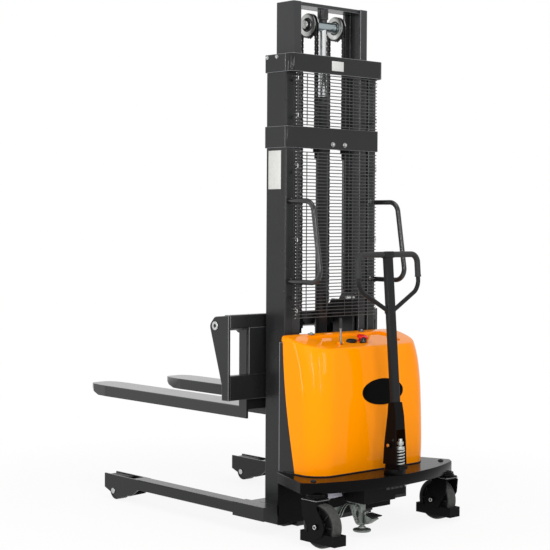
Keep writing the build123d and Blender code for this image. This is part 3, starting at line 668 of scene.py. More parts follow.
def smooth(piece, angle=38):
    """Shade a piece smooth, apart from edges sharper than an angle."""
    activate(piece)
    bpy.ops.object.shade_smooth_by_angle(angle=math.radians(angle))
    return piece


def round_edges(piece, radius, segments=2, angle=38):
    """Round every sharp edge of a piece."""
    activate(piece)
    bevel = piece.modifiers.new("rounding", "BEVEL")
    bevel.width = radius * MM
    bevel.segments = segments
    bevel.limit_method = "ANGLE"
    bevel.angle_limit = math.radians(angle)
    bpy.ops.object.modifier_apply(modifier="rounding")
    return smooth(piece, angle)


def mend(piece):
    """Merge doubled points and turn all faces outwards."""
    edit_all(piece)
    bpy.ops.mesh.remove_doubles(threshold=MERGE)
    bpy.ops.mesh.normals_make_consistent(inside=False)
    bpy.ops.object.mode_set(mode="OBJECT")
    return piece


def polyline(name, places):
    """A chain of edges through places, drawn by extruding one vertex."""
    rest()
    bpy.ops.mesh.primitive_plane_add(size=10 * MM, location=places[0])
    piece = bpy.context.object
    bpy.ops.object.mode_set(mode="EDIT")
    bpy.ops.mesh.select_all(action="SELECT")
    bpy.ops.mesh.merge(type="CENTER")
    for before, after in zip(places, places[1:]):
        bpy.ops.mesh.extrude_vertices_move(TRANSFORM_OT_translate={"value": after - before})
    bpy.ops.object.mode_set(mode="OBJECT")
    return settle(piece, name)


def plate(name, outline, push, edge=0):
    """A flat plate: an outline filled and pushed out along a vector, its edges rounded."""
    piece = polyline(name, outline)
    edit_all(piece)
    bpy.ops.mesh.edge_face_add()
    bpy.ops.mesh.extrude_region_move(TRANSFORM_OT_translate={"value": push * MM})
    bpy.ops.object.mode_set(mode="OBJECT")
    mend(piece)
    return round_edges(piece, edge) if edge else piece


def sided(profile, side):
    """A turning profile, or for side -1 its mirror image."""
    return [(side * along, radius) for along, radius in profile]


def closed(half):
    """A ring's profile from one half and its mirror image, ending where it starts."""
    return list(half) + sided(reversed(half), -1) + [half[0]]


def turned(name, profile, centre, axis):
    """A piece turned on a lathe: profile pairs are the distance along the axis and the radius."""
    axis = axis.normalized()
    out = axis.orthogonal().normalized()
    piece = polyline(name, [centre + axis * (along * MM) + out * (radius * MM) for along, radius in profile])
    edit_all(piece)
    bpy.ops.mesh.spin(steps=sizes().turn_steps, angle=2 * math.pi, center=centre, axis=axis)
    bpy.ops.object.mode_set(mode="OBJECT")
    mend(piece)
    return smooth(piece, TURNED_ANGLE)


def tube(name, places, radius, bend=0, sides=5):
    """A round bar bent along places, its corners rounded by bend."""
    piece = polyline(name, places)
    if bend:
        edit_all(piece)
        bpy.ops.mesh.bevel(
            offset=bend * MM, offset_type="OFFSET", segments=10, affect="VERTICES", clamp_overlap=True)
    activate(piece)
    bpy.ops.object.convert(target="CURVE")
    curve = bpy.context.object.data
    curve.bevel_depth = radius * MM
    curve.bevel_resolution = sides
    curve.use_fill_caps = True
    bpy.ops.object.convert(target="MESH")
    piece = settle(bpy.context.object, name)
    mend(piece)
    return smooth(piece, WIRE_ANGLE)


def repeated(piece, count, step):
    """Copies of a piece in a row."""
    activate(piece)
    row = piece.modifiers.new("row", "ARRAY")
    row.use_relative_offset = False
    row.use_constant_offset = True
    row.constant_offset_displace = step * MM
    row.count = count
    bpy.ops.object.modifier_apply(modifier="row")
    return piece


def ringed(piece, count, centre, axis, arc):
    """Copies of a piece about an axis, the last of them turned by an arc in degrees."""
    edit_all(piece)
    bpy.ops.mesh.spin(steps=count - 1, dupli=True, angle=math.radians(arc), center=centre, axis=axis)
    bpy.ops.object.mode_set(mode="OBJECT")
    return piece


def encircled(piece, count, centre, axis):
    """Copies of a piece in a full circle."""
    return ringed(piece, count, centre, axis, 360 - 360 / count)


def copied(piece):
    """A copy of a piece with its own mesh."""
    activate(piece)
    bpy.ops.object.duplicate(linked=False)
    return bpy.context.object


def joined(name, pieces):
    """Several pieces made one."""
    rest()
    for piece in pieces:
        piece.select_set(True)
    bpy.context.view_layer.objects.active = pieces[0]
    if len(pieces) > 1:
        bpy.ops.object.join()
    return settle(bpy.context.object, name)


def pair(piece):
    """A piece joined with its mirror image across the middle of the stacker."""
    twin = copied(piece)
    twin.scale = (-1, 1, 1)
    settle(twin, piece.name + "_copy")
    mend(twin)
    return joined(piece.name, [piece, twin])


def widened(piece, factor, middle_x):
    """Stretch a piece across the stacker about its own middle."""
    piece.scale = (factor, 1, 1)
    piece.location = (middle_x * (1 - factor), 0, 0)
    return settle(piece, piece.name)


def paint(piece, *makers):
    """Give a piece these finishes and no others."""
    piece.data.materials.clear()
    for maker in makers:
        piece.data.materials.append(finished(maker))


def dress(piece, maker, body, slot, *stands_for):
    """Give a finished piece its material and its body, and hide the solids that it stands for. The slot is
    not used.
    """
    paint(piece, maker)
    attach(piece, body)
    if stands_for:
        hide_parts(*stands_for)


def hex_bolt(name, seat, way, size, head, shank=0):
    """A hexagon head on a washer, with a threaded end past it where shank is given."""
    thick = size * 0.13
    washer = turned(
        name + "_washer",
        [(0, 0), (0, size * 0.68), (size * 0.06, size * 0.72), (thick, size * 0.70), (thick, 0)], seat, way)
    foot = seat + way * (thick * MM)
    top = foot + way * (head * MM)
    nut = rod(name, foot, top, size / 2 / math.cos(math.pi / 6), sides=6)
    round_edges(nut, size * 0.05)
    parts = [nut, washer]
    if shank:
        turns = max(2, int(shank / (size * 0.10)))
        step = shank / turns
        thread = [(0, 0), (0, size * 0.28)]
        for turn in range(turns):
            thread += [((turn + 0.25) * step, size * 0.30), ((turn + 0.75) * step, size * 0.26)]
        thread += [(shank, size * 0.22), (shank, 0)]
        parts.append(turned(name + "_end", thread, top, way))
    return joined(name, parts)


def dome_bolt(name, seat, way, radius, height):
    """A low domed head with a hollow in its crown."""
    shares = ((0, 0), (0, 1), (0.25, 1), (0.6, 0.86), (0.9, 0.55), (1, 0.34), (0.62, 0.30), (0.62, 0))
    return turned(name, [(up * height, out * radius) for up, out in shares], seat, way)


def weld_bead(name, start, end, width):
    """A rippled seam from one place to another: overlapping flat drops of weld."""
    rest()
    run = end - start
    count = max(2, int(run.length / (width * MM * 0.42)))
    bpy.ops.mesh.primitive_uv_sphere_add(segments=10, ring_count=6, radius=width * MM / 2, location=start)
    drop = settle(bpy.context.object, name)
    repeated(drop, count, run / MM / (count - 1))
    return smooth(drop, angle=60)


MAST_NODES = (
    "outer_mast_left", "outer_mast_right", "crossbeam_cheeks", "carriage_side_plates", "carriage_top_beam",
    "carriage_lower_beam", "carriage_uprights", "carriage_shoes", "cylinder_barrel")
INNER_NODES = ("inner_mast_left", "inner_mast_right", "inner_mast_ties")
BEAM_NODES = ("upper_crossbeam", "lower_crossbeam", "side_panels")
LEG_NODES = ("base_crossmember", "straddle_leg_left", "straddle_leg_right")
BLACK_NODES = (
    "base_wall", "tiller_pin", "steering_housings", "turntable", "tiller_yoke", "castor_fork_left",
    "castor_fork_right", "chain_anchor_bolts", "chain_clevises")
NYLON_NODES = ("load_roller_left", "load_roller_right", "mast_shoes")
NODE_FINISHES = (
    (mast_enamel, MAST_NODES, 2.0),
    (inner_enamel, INNER_NODES, 2.0),
    (beam_enamel, BEAM_NODES, 2.0),
    (leg_enamel, LEG_NODES, 1.6),
    (gloss_enamel, ("fork_left", "fork_right", "grab_handles"), 1.6),
    (deck_enamel, ("deck_plate",), 1.6),
    (tiller_enamel, ("tiller_tube",), 1.2),
    (black_enamel, BLACK_NODES, 1.2),
    (bright_zinc, ("load_axles", "fork_shaft"), 0.8),
    (cast_zinc, ("lock_plunger",), 1.2),
    (spring_steel, ("spring_rod",), 0.5),
    (dark_nylon, NYLON_NODES, 0.8),
    (battery_case, ("battery",), 1.0),
    (pump_enamel, ("power_unit",), 1.0),
)
# Finishes whose bevelled edges take the painted highlight enamel as a second material.
HIGHLIGHT_EDGED = (mast_enamel, inner_enamel, beam_enamel)


class STACKER_OT_finish_nodes(bpy.types.Operator):
    """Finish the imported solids: a material for each, and softened edges"""

    bl_idname = "stacker.finish_nodes"
    bl_label = "Finish solids"

    flat_angle = math.radians(0.5)
    edge_angle = math.radians(35)

    def execute(self, context):
        for maker, names, edge in NODE_FINISHES:
            # Mast, inner mast and beams get the painted edge highlight as their second material.
            makers = (maker, highlight_edge_enamel) if maker in HIGHLIGHT_EDGED else (maker,)
            for name in names:
                node = frame["nodes"][name]
                paint(node, *makers)
                self.soften(node, edge, len(makers) - 1)
        return {"FINISHED"}

    def soften(self, node, edge, edge_material):
        """Merge a solid's loose triangles into flat faces and round the edges between them."""
        weld = node.modifiers.new("merge", "WELD")
        weld.merge_threshold = MERGE
        flat = node.modifiers.new("flat faces", "DECIMATE")
        flat.decimate_type = "DISSOLVE"
        flat.angle_limit = self.flat_angle
        bevel = node.modifiers.new("edges", "BEVEL")
        bevel.width = edge * MM
        bevel.segments = 2
        bevel.limit_method = "ANGLE"
        bevel.angle_limit = self.edge_angle
        bevel.harden_normals = True
        # The bevel faces take the second material, the painted edge highlight, where the solid has one.
        bevel.material = edge_material


class STACKER_OT_stage(bpy.types.Operator):
    """White floor and sky, soft lamps and the camera"""

    bl_idname = "stacker.stage"
    bl_label = "Stage"

    floor_size = 60
    floor_drop = -0.0005
    shadow_share = 0.12
    shadow_reach = (1.1, 2.4)
    lamp_aim = Vector((0, -0.3, 1.0))
    right_share = 0.1
    sensor = 36.0

    def execute(self, context):
        context.scene.view_settings.view_transform = "Standard"
        stage = context.scene.stacker_stage
        self.floor()
        self.sky(context, stage)
        self.lamps(context, stage)
        self.camera(context, stage)
        return {"FINISHED"}

    def floor(self):
        """A floor that takes the object's shadow near it and is plain white further out."""
        rest()
        bpy.ops.mesh.primitive_plane_add(size=self.floor_size, location=(0, 0, self.floor_drop))
        floor = settle(bpy.context.object, "floor")
        material = bpy.data.materials.new("floor_white")
        material.use_nodes = True
        nodes = Nodes(material.node_tree)
        matte = nodes.add("ShaderNodeBsdfDiffuse", {}, {"Color": FLOOR_GREY})
        glow = nodes.add("ShaderNodeEmission", {}, {"Color": WHITE})
        far = nodes.add("ShaderNodeVectorMath", {"operation": "LENGTH"}, {0: nodes.coordinates()}, "Value")
        fade = far.step(*self.shadow_reach) * self.shadow_share + (1 - self.shadow_share)
        both = nodes.add("ShaderNodeMixShader", {}, {"Fac": nodes.seen() * fade, 1: matte, 2: glow})
        nodes.add("ShaderNodeOutputMaterial", {}, {"Surface": both})
        floor.data.materials.append(material)

    def sky(self, context, stage):
        """A white sky: plain white where it is seen, and of the stage's strength where it lights."""
        world = bpy.data.worlds.new("white_sky")
        context.scene.world = world
        world.use_nodes = True
        nodes = Nodes(world.node_tree)
        lit = nodes.add("ShaderNodeBackground", {}, {"Color": WHITE, "Strength": stage.sky})
        plain = nodes.add("ShaderNodeBackground", {}, {"Color": WHITE, "Strength": 1.0})
        both = nodes.add("ShaderNodeMixShader", {}, {"Fac": nodes.seen(), 1: lit, 2: plain})
        nodes.add("ShaderNodeOutputWorld", {}, {"Surface": both})

    def lamps(self, context, stage):
        """Oblong lamps round the stacker, all aimed at its middle."""
        for name, place, wide, tall, power in (
            ("key_lamp", (-4.6, -2.0, 2.7), 2.0, 3.0, stage.key_power),
            ("fill_lamp", (-1.3, -5.8, 2.6), 1.4, 2.0, stage.fill_power),
            ("top_lamp", (-0.6, -1.6, 4.6), 2.0, 2.0, stage.top_power),
            ("near_line", (-4.3, -2.75, 1.7), 0.07, 2.0, stage.line_power),
            ("far_line", (-2.7, -4.5, 1.7), 0.07, 2.0, stage.line_power),
            ("left_strip", (-3.8, 1.4, 1.5), 0.30, 2.6, stage.strip_power),
            ("right_strip", (2.0, -4.3, 1.5), 0.30, 2.6, stage.strip_power * self.right_share),
        ):
            lamp = bpy.data.lights.new(name, "AREA")
            lamp.shape = "RECTANGLE"
            lamp.size = wide
            lamp.size_y = tall
            lamp.energy = power
            holder = bpy.data.objects.new(name, lamp)
            context.scene.collection.objects.link(holder)
            holder.location = place
            aim = self.lamp_aim - Vector(place)
            holder.rotation_euler = aim.to_track_quat("-Z", "Y").to_euler()

    def camera(self, context, stage):
        """The camera, turned by heading, pitch and roll."""
        ahead = Vector((
            math.sin(stage.heading) * math.cos(stage.pitch),
            math.cos(stage.heading) * math.cos(stage.pitch),
            -math.sin(stage.pitch)))
        level = Vector((math.cos(stage.heading), -math.sin(stage.heading), 0))
        upright = level.cross(ahead)
        right = level * math.cos(stage.roll) + upright * math.sin(stage.roll)
        up = upright * math.cos(stage.roll) - level * math.sin(stage.roll)
        lens = bpy.data.cameras.new("photo_camera")
        lens.lens = stage.lens
        lens.sensor_width = self.sensor
        camera = bpy.data.objects.new("photo_camera", lens)
        context.scene.collection.objects.link(camera)
        turn = Matrix((right, up, -ahead)).transposed()
        camera.matrix_world = Matrix.Translation(stage.camera) @ turn.to_4x4()
        context.scene.camera = camera


class STACKER_OT_wire_guard(bpy.types.Operator):
    """Welded wire guard behind the mast, with its tabs and hooks"""

    bl_idname = "stacker.wire_guard"
    bl_label = "Wire guard"

    panels = ((1732, 15), (905, 49))
    uprights = (-232, -178, -55, 55, 102, 181, 232)
    tab_rows = (0.12, 0.88)
    tab_x = 236
    tab_half = Vector((1.8, 0, 7)) * MM
    tab_lap = 3
    hook_x = -240
    hook_heights = (1930, 1772, 1557, 1241, 937)
    hook_path = ((320.5, 9), (284, 9), (284, -7), (293, -7))

    def execute(self, context):
        low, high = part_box("mesh_guard")
        wire = sizes().wire
        pitch = sizes().wire_pitch
        rear = low.y + wire / 2
        stay = rear + wire * 0.85
        parts = []
        for foot, rows in self.panels:
            bottom = foot * MM
            first = bottom + wire / 2
            cross = self.straight("cross_wire", (low.x, rear, first), (high.x, rear, first))
            parts.append(repeated(cross, rows + 1, UP * (pitch / MM)))
            top = bottom + rows * pitch + wire
            for x in self.uprights:
                parts.append(self.straight("upright_wire", (x * MM, stay, bottom), (x * MM, stay, top)))
            for share in self.tab_rows:
                height = first + pitch * round(share * rows)
                for side in SIDES:
                    parts.append(self.tab(side * self.tab_x * MM, rear + wire, high.y, height))
        guard = smooth(joined("wire_guard", parts), WIRE_ANGLE)
        dress(guard, guard_wire, "chassis", "mast_paint", "mesh_guard")
        hooks = [self.hook(height) for height in self.hook_heights]
        dress(pair(joined("guard_hooks", hooks)), bright_zinc, "chassis", "zinc")
        return {"FINISHED"}

    def straight(self, name, start, end):
        """One straight wire with softened ends."""
        thick = sizes().wire / MM
        bar = rod(name, Vector(start), Vector(end), thick / 2, sides=8)
        return round_edges(bar, thick * 0.15, segments=1)

    def tab(self, x, rear, front, height):
        """A flat tab from the wires to the mast."""
        low = Vector((x, rear - self.tab_lap * MM, height)) - self.tab_half
        high = Vector((x, front, height)) + self.tab_half
        return round_edges(block("guard_tab", low, high), 0.9)

    def hook(self, height):
        """A bent wire hook that holds one cross wire to the mast flange."""
        path = [at(self.hook_x, ahead, height + up) for ahead, up in self.hook_path]
        return tube("guard_hook", path, radius=1.7, bend=3, sides=3)


class STACKER_OT_lift_chains(bpy.types.Operator):
    """Leaf and roller links over both sheaves, from the crossbeam to the carriage"""

    bl_idname = "stacker.lift_chains"
    bl_label = "Lift chains"

    half_width = 7.4
    plate_height = 12.8
    plate_thick = 1.9
    plate_gap = 0.6
    pin_reach = 7.9
    pin_radius = 2.8
    waisted = (
        (-0.5, -1), (0.5, -1), (1, -0.7), (1, -0.36), (0.78, 0), (1, 0.36), (1, 0.7),
        (0.5, 1), (-0.5, 1), (-1, 0.7), (-1, 0.36), (-0.78, 0), (-1, -0.36), (-1, -0.7))

    def execute(self, context):
        inset = (self.plate_height / 2 + self.plate_gap) * MM
        rear_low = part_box("rear_chains")[0]
        front_low, front_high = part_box("front_chains")
        front_y = front_high.y - inset
        rear = [self.strand(side, rear_low.y + inset, rear_low.z) for side in SIDES]
        front = [self.strand(side, front_y, front_low.z) for side in SIDES]
        over = [self.bend(side, front_y) for side in SIDES]
        self.hang(joined("rear_lift_chains", rear), "chassis", rear_low.z, "rear_chains")
        self.hang(joined("front_lift_chains", front), "carriage", front_low.z, "front_chains")
        dress(joined("chain_bends", over), oiled_chain, "inner_mast", "chain_steel", "chain_wraps")
        return {"FINISHED"}

    def hang(self, chain, body, fixed, node):
        """A strand given its finish, with its place put into its mesh, and the solid that it stands for
        hidden.
        """
        paint(chain, oiled_chain)
        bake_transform(chain)
        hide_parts(node)

    def links(self, foot):
        """One inner and one outer link, standing upright from a place."""
        pitch = sizes().chain_pitch
        tall = pitch * 0.92
        deep = self.plate_height * MM / 2
        reach = ACROSS * (self.pin_reach * MM)
        outer_gap = self.half_width - self.plate_thick
        parts = []
        for step, gap in enumerate((outer_gap - self.plate_thick, outer_gap)):
            pin = foot + UP * (step * pitch)
            middle = pin + UP * (pitch / 2)
            for side in SIDES:
                face = middle + ACROSS * (side * gap * MM)
                outline = [face + FORWARD * (across * deep) + UP * (up * tall) for across, up in self.waisted]
                parts.append(plate("link_plate", outline, ACROSS * (side * self.plate_thick)))
            parts.append(rod("link_pin", pin - reach, pin + reach, self.pin_radius, sides=8))
        return joined("links", parts)

    def strand(self, side, y, low):
        """Links from an anchor's height up to the sheave."""
        pitch = sizes().chain_pitch
        piece = self.links(Vector((side * abs(SHEAVE.x), y, low + pitch / 2)))
        return repeated(piece, int((SHEAVE.z - low) / (2 * pitch)), UP * (2 * pitch / MM))

    def bend(self, side, y):
        """Links in a half circle over a sheave."""
        middle = Vector((side * abs(SHEAVE.x), SHEAVE.y, SHEAVE.z))
        return ringed(self.links(Vector((middle.x, y, middle.z))), 7, middle, ACROSS, 180)


class STACKER_OT_sheaves(bpy.types.Operator):
    """Turned chain wheels with black sealed bearings and a black ring painted as the shade in their grooves,
    their axle and the ram
    """

    bl_idname = "stacker.sheaves"
    bl_label = "Sheaves"

    half_wheel = (
        (8.4, 40.2), (8.4, 49), (9.2, 50), (11.2, 49.8), (12.5, 47), (12.5, 31.2),
        (11.8, 30.5), (9.8, 30), (9.8, 24.5), (11.8, 24), (12.8, 23.5), (12.5, 18.2))
    seal = ((9.9, 24.7), (10.6, 26.2), (10.6, 28.4), (9.9, 29.8), (9.2, 27.2), (9.9, 24.7))
    groove_shade_profile = ((8.1, 40.7), (8.1, 46.2), (8.3, 46.2), (8.3, 40.3))
    sleeve = ((-70, 0), (-70, 20.8), (-68.8, 22), (68.8, 22), (70, 20.8), (70, 0))
    axle_end = ((70.2, 0), (70.2, 17.8), (110, 17.8), (111.8, 16.6), (111.8, 6), (110.4, 5), (110.4, 0))
    collar = ((97, 18), (97, 23.2), (98, 24), (104, 24), (105, 23.2), (105, 18))
    neck = ((13.5, 0), (13.5, 18.5), (16, 19.2), (30, 19.2), (31.2, 18.6), (31.2, 0))
    ram_foot = ((0, 0), (0.5, 16.5), (2, 17))
    ram_head = ((-14.5, 17), (-12.5, 16), (-12.5, 0))

    def execute(self, context):
        for hand in HANDS:
            body = hand + "_sheave"
            centre = pivot(body + "_spin")
            wheel = turned("chain_wheel_" + hand, closed(self.half_wheel), centre, ACROSS)
            dress(wheel, bright_zinc, body, "zinc", "sheave_" + hand)
            # A black ring fills each wheel's groove: painted shade in the recess where the chain runs.
            parts = [turned("groove", closed(self.groove_shade_profile), centre, ACROSS)]
            for side in SIDES:
                parts.append(turned("seal", sided(self.seal, side), centre, ACROSS))
            dress(joined("chain_wheel_seals_and_groove_shade_" + hand, parts), grained_black, body, "black_plastic")
        self.axle()
        self.ram()
        return {"FINISHED"}

    def axle(self):
        """The sleeved axle between the wheels, with its ends and collars."""
        middle = Vector((0, SHEAVE.y, SHEAVE.z))
        sleeve = turned("axle_sleeve", self.sleeve, middle, ACROSS)
        dress(sleeve, blued_steel, "inner_mast", "ground_steel", "sheave_axle")
        ends = pair(turned("axle_ends", self.axle_end, middle, ACROSS))
        dress(ends, bright_zinc, "inner_mast", "zinc")
        collars = pair(turned("axle_collars", self.collar, middle, ACROSS))
        dress(collars, grained_black, "inner_mast", "black_plastic")

    def ram(self):
        """The chromed ram, from its foot in the cylinder up to the axle, and the neck above it."""
        foot = Vector((0, SHEAVE.y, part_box("ram_rod")[0].z))
        top = (SHEAVE.z - foot.z) / MM
        profile = list(self.ram_foot) + [(top + along, radius) for along, radius in self.ram_head]
        ram = turned("chromed_ram", profile, foot, UP)
        dress(ram, hard_chrome, "inner_mast", "ground_steel", "ram_rod")
        neck = turned("axle_neck", self.neck, foot + UP * (top * MM), UP)
        dress(neck, inner_enamel, "inner_mast", "mast_paint")


class STACKER_OT_tiller(bpy.types.Operator):
    """Tiller loop of bent tube with rubber grips, and the bolts and spring of the yoke"""

    bl_idname = "stacker.tiller"
    bl_label = "Tiller"

    half_width = 182
    bar = 790.6
    bend = 36
    corners = ((12, 551), (half_width, 645), (half_width, bar))
    grip_path = ((26, bar), (half_width, bar), (half_width, 695))
    ring_height = 697
    ring = ((-3.5, 9), (-3.5, 13.8), (3.5, 13.8), (3.5, 9))
    cap_outline = ((-30, 782), (-26, 776), (26, 776), (30, 782), (30, 799), (25, 804), (-25, 804), (-30, 799))
    cap_half = 14.5
    seam_x = 22
    seam_heights = (560, 545)
    yoke_bolt = (-31.8, -88, 408)
    pin_reach = 40.5
    pin_face = ((0, 0), (0, 7.2), (1.6, 6.6), (1.6, 3), (0.6, 2.6), (0.6, 0))
    spring_ahead = -98
    cap_foot = 366.5
    nut_foot = 388
    core_foot = 298.5
    spring_cap = ((0, 0), (0, 17), (3, 17.8), (8.5, 17.2), (12.5, 13.5), (14.5, 8.5), (14.5, 0))
    spring_nut = ((0, 0), (0, 13.2), (9, 13.6), (12.5, 11.5), (12.5, 0))
    spring_core = ((0, 0), (0, 12.8), (2, 13.1), (64, 13.1), (67, 12), (67, 0))
    coil_radius = 16.4
    coil_foot = 300
    coil_height = 64
    coil_turns = 5
    coil_steps = 16

    def execute(self, context):
        self.loop()
        self.boss()
        self.yoke()
        self.spring()
        return {"FINISHED"}

    def loop(self):
        """The bent loop, and a grip round each of its upper corners."""
        right = [on_arm(x, along) for x, along in self.corners]
        left = [on_arm(-x, along) for x, along in reversed(self.corners)]
        loop = tube("tiller_bent_tube", right + left, sizes().loop_tube / MM, self.bend, sides=6)
        dress(loop, tiller_enamel, "tiller_arm", "base_paint", "tiller_loop")
        path = [on_arm(x, along) for x, along in self.grip_path]
        grip = tube("tiller_grips", path, sizes().grip / MM, self.bend, sides=8)
        ring = turned("grip_ring", self.ring, on_arm(self.half_width, self.ring_height), ARM_UP)
        dress(pair(joined("tiller_grips", [grip, ring])), grip_rubber, "tiller_arm", "black_plastic")

    def boss(self):
        """The cap over the arm's end, where the loop's top bar passes through."""
        depth = ARM_OUT * (self.cap_half * MM)
        outline = [on_arm(x, along) - depth for x, along in self.cap_outline]
        cap = plate("loop_boss", outline, ARM_OUT * (2 * self.cap_half), edge=3)
        dress(cap, tiller_enamel, "tiller_arm", "base_paint")
        seams = []
        for side in SIDES:
            start, end = [on_arm(side * self.seam_x, along) + depth * 0.7 for along in self.seam_heights]
            seams.append(weld_bead("arm_seam", start, end, 6))
        dress(joined("arm_seams", seams), tiller_enamel, "tiller_arm", "base_paint")

    def yoke(self):
        """Small bolts through the yoke and the brass faces of the pin that the arm tilts on."""
        bolt = hex_bolt("yoke_bolts", at(*self.yoke_bolt), -ACROSS, size=8, head=4, shank=2)
        dress(pair(bolt), oiled_chain, "tiller_arm", "zinc")
        pin_end = pivot("tiller_tilt") - ACROSS * (self.pin_reach * MM)
        face = turned("pin_faces", self.pin_face, pin_end, -ACROSS)
        dress(pair(face), yellow_brass, "tiller_base", "zinc")

    def spring(self):
        """The return spring round its core, under a cap and a nut."""
        cap = turned("spring_cap", self.spring_cap, at(0, self.spring_ahead, self.cap_foot), UP)
        nut = turned("spring_nut", self.spring_nut, at(0, self.spring_ahead, self.nut_foot), UP)
        dress(joined("spring_caps", [cap, nut]), spring_steel, "tiller_base", "zinc")
        core = turned("spring_core", self.spring_core, at(0, self.spring_ahead, self.core_foot), UP)
        dress(core, grained_black, "tiller_base", "black_plastic")
        coil = []
        last = self.coil_turns * self.coil_steps
        for step in range(last + 1):
            angle = 2 * math.pi * step / self.coil_steps
            x = self.coil_radius * math.cos(angle)
            ahead = self.spring_ahead + self.coil_radius * math.sin(angle)
            coil.append(at(x, ahead, self.coil_foot + self.coil_height * step / last))
        spring = tube("coil_spring", coil, radius=2.9, sides=3)
        dress(spring, spring_steel, "tiller_base", "zinc", "return_spring")


class STACKER_OT_cover(bpy.types.Operator):
    """Moulded cover with its edging, a rolled lip, a blank oval badge and two clips"""

    bl_idname = "stacker.cover"
    bl_label = "Cover"

    proud_by = 0.7
    foot = 264
    foot_path = ((-344, 182), (-344, 45), (344, 45), (344, 182))
    lip_top = 7.4
    lip_depth = 26
    lip_outline = (
        (-345.5, 240), (-346, 256), (-341, 269), (-330, 277), (-314, 280),
        (284, 280), (312, 274), (334, 262), (345, 240))
    badge_middle = (42, 45, 596)
    badge_out = Vector((0, -0.9978, 0.066))
    badge_profile = ((-6, 56), (1.2, 56), (2.4, 54.8), (2.4, 53.2), (1.6, 52.6), (2.2, 35), (2.6, 0))
    badge_half_width = 125
    clip_seats = ((-180, 262), (125, 262))
    clip_outline = ((-13, -10), (-9, -14), (9, -14), (13, -10), (13, 6), (-13, 6))
    clip_thick = 4

    def execute(self, context):
        self.shell()
        path = [at(x, ahead, self.foot) for x, ahead in self.foot_path]
        edging = tube("cover_edging", path, radius=2.8, bend=95, sides=4)
        dress(edging, grained_black, "chassis", "black_plastic")
        self.lip()
        self.badge()
        self.clips()
        return {"FINISHED"}

    def shell(self):
        """The solid's own shell, smoothed and a little proud of it."""
        shell = copied(frame["nodes"]["cover"])
        shell.parent = None
        settle(shell, "moulded_cover")
        mend(shell)
        bpy.ops.mesh.customdata_custom_splitnormals_clear()
        proud = shell.modifiers.new("proud", "DISPLACE")
        proud.strength = self.proud_by * MM
        proud.mid_level = 0.0
        activate(shell)
        bpy.ops.object.modifier_apply(modifier="proud")
        smooth(shell, angle=30)
        dress(shell, cover_gel, "chassis", "cover_plastic", "cover")

    def lip(self):
        """The lid's rolled front edge, which stands forward of the cover's sides."""
        outline = [dish(x, ahead, self.lip_top) for x, ahead in self.lip_outline]
        lip = plate("lid_lip", outline, -LID_OUT * self.lip_depth, edge=6)
        dress(lip, cover_gel, "chassis", "cover_plastic")

    def badge(self):
        """A plain black oval on the rear of the cover, domed, with a thin rim."""
        middle = at(*self.badge_middle)
        oval = turned("oval_badge", self.badge_profile, middle, self.badge_out)
        widened(oval, self.badge_half_width / self.badge_profile[0][1], middle.x)
        dress(smooth(oval, TURNED_ANGLE), badge_black, "chassis", "black_plastic")

    def clips(self):
        """Spring clips that hold the cover's front edge, each under a domed screw."""
        parts = []
        for x, ahead in self.clip_seats:
            seat = lid(x, ahead, 0.4)
            outline = [seat + (ACROSS * right + LID_ALONG * front) * MM for right, front in self.clip_outline]
            parts.append(plate("clip", outline, LID_OUT * self.clip_thick, edge=1))
            screw = seat + (LID_OUT * self.clip_thick - LID_ALONG * 3) * MM
            parts.append(dome_bolt("clip_screw", screw, LID_OUT, radius=7, height=5.5))
        dress(joined("cover_clips", parts), dull_zinc, "chassis", "zinc")


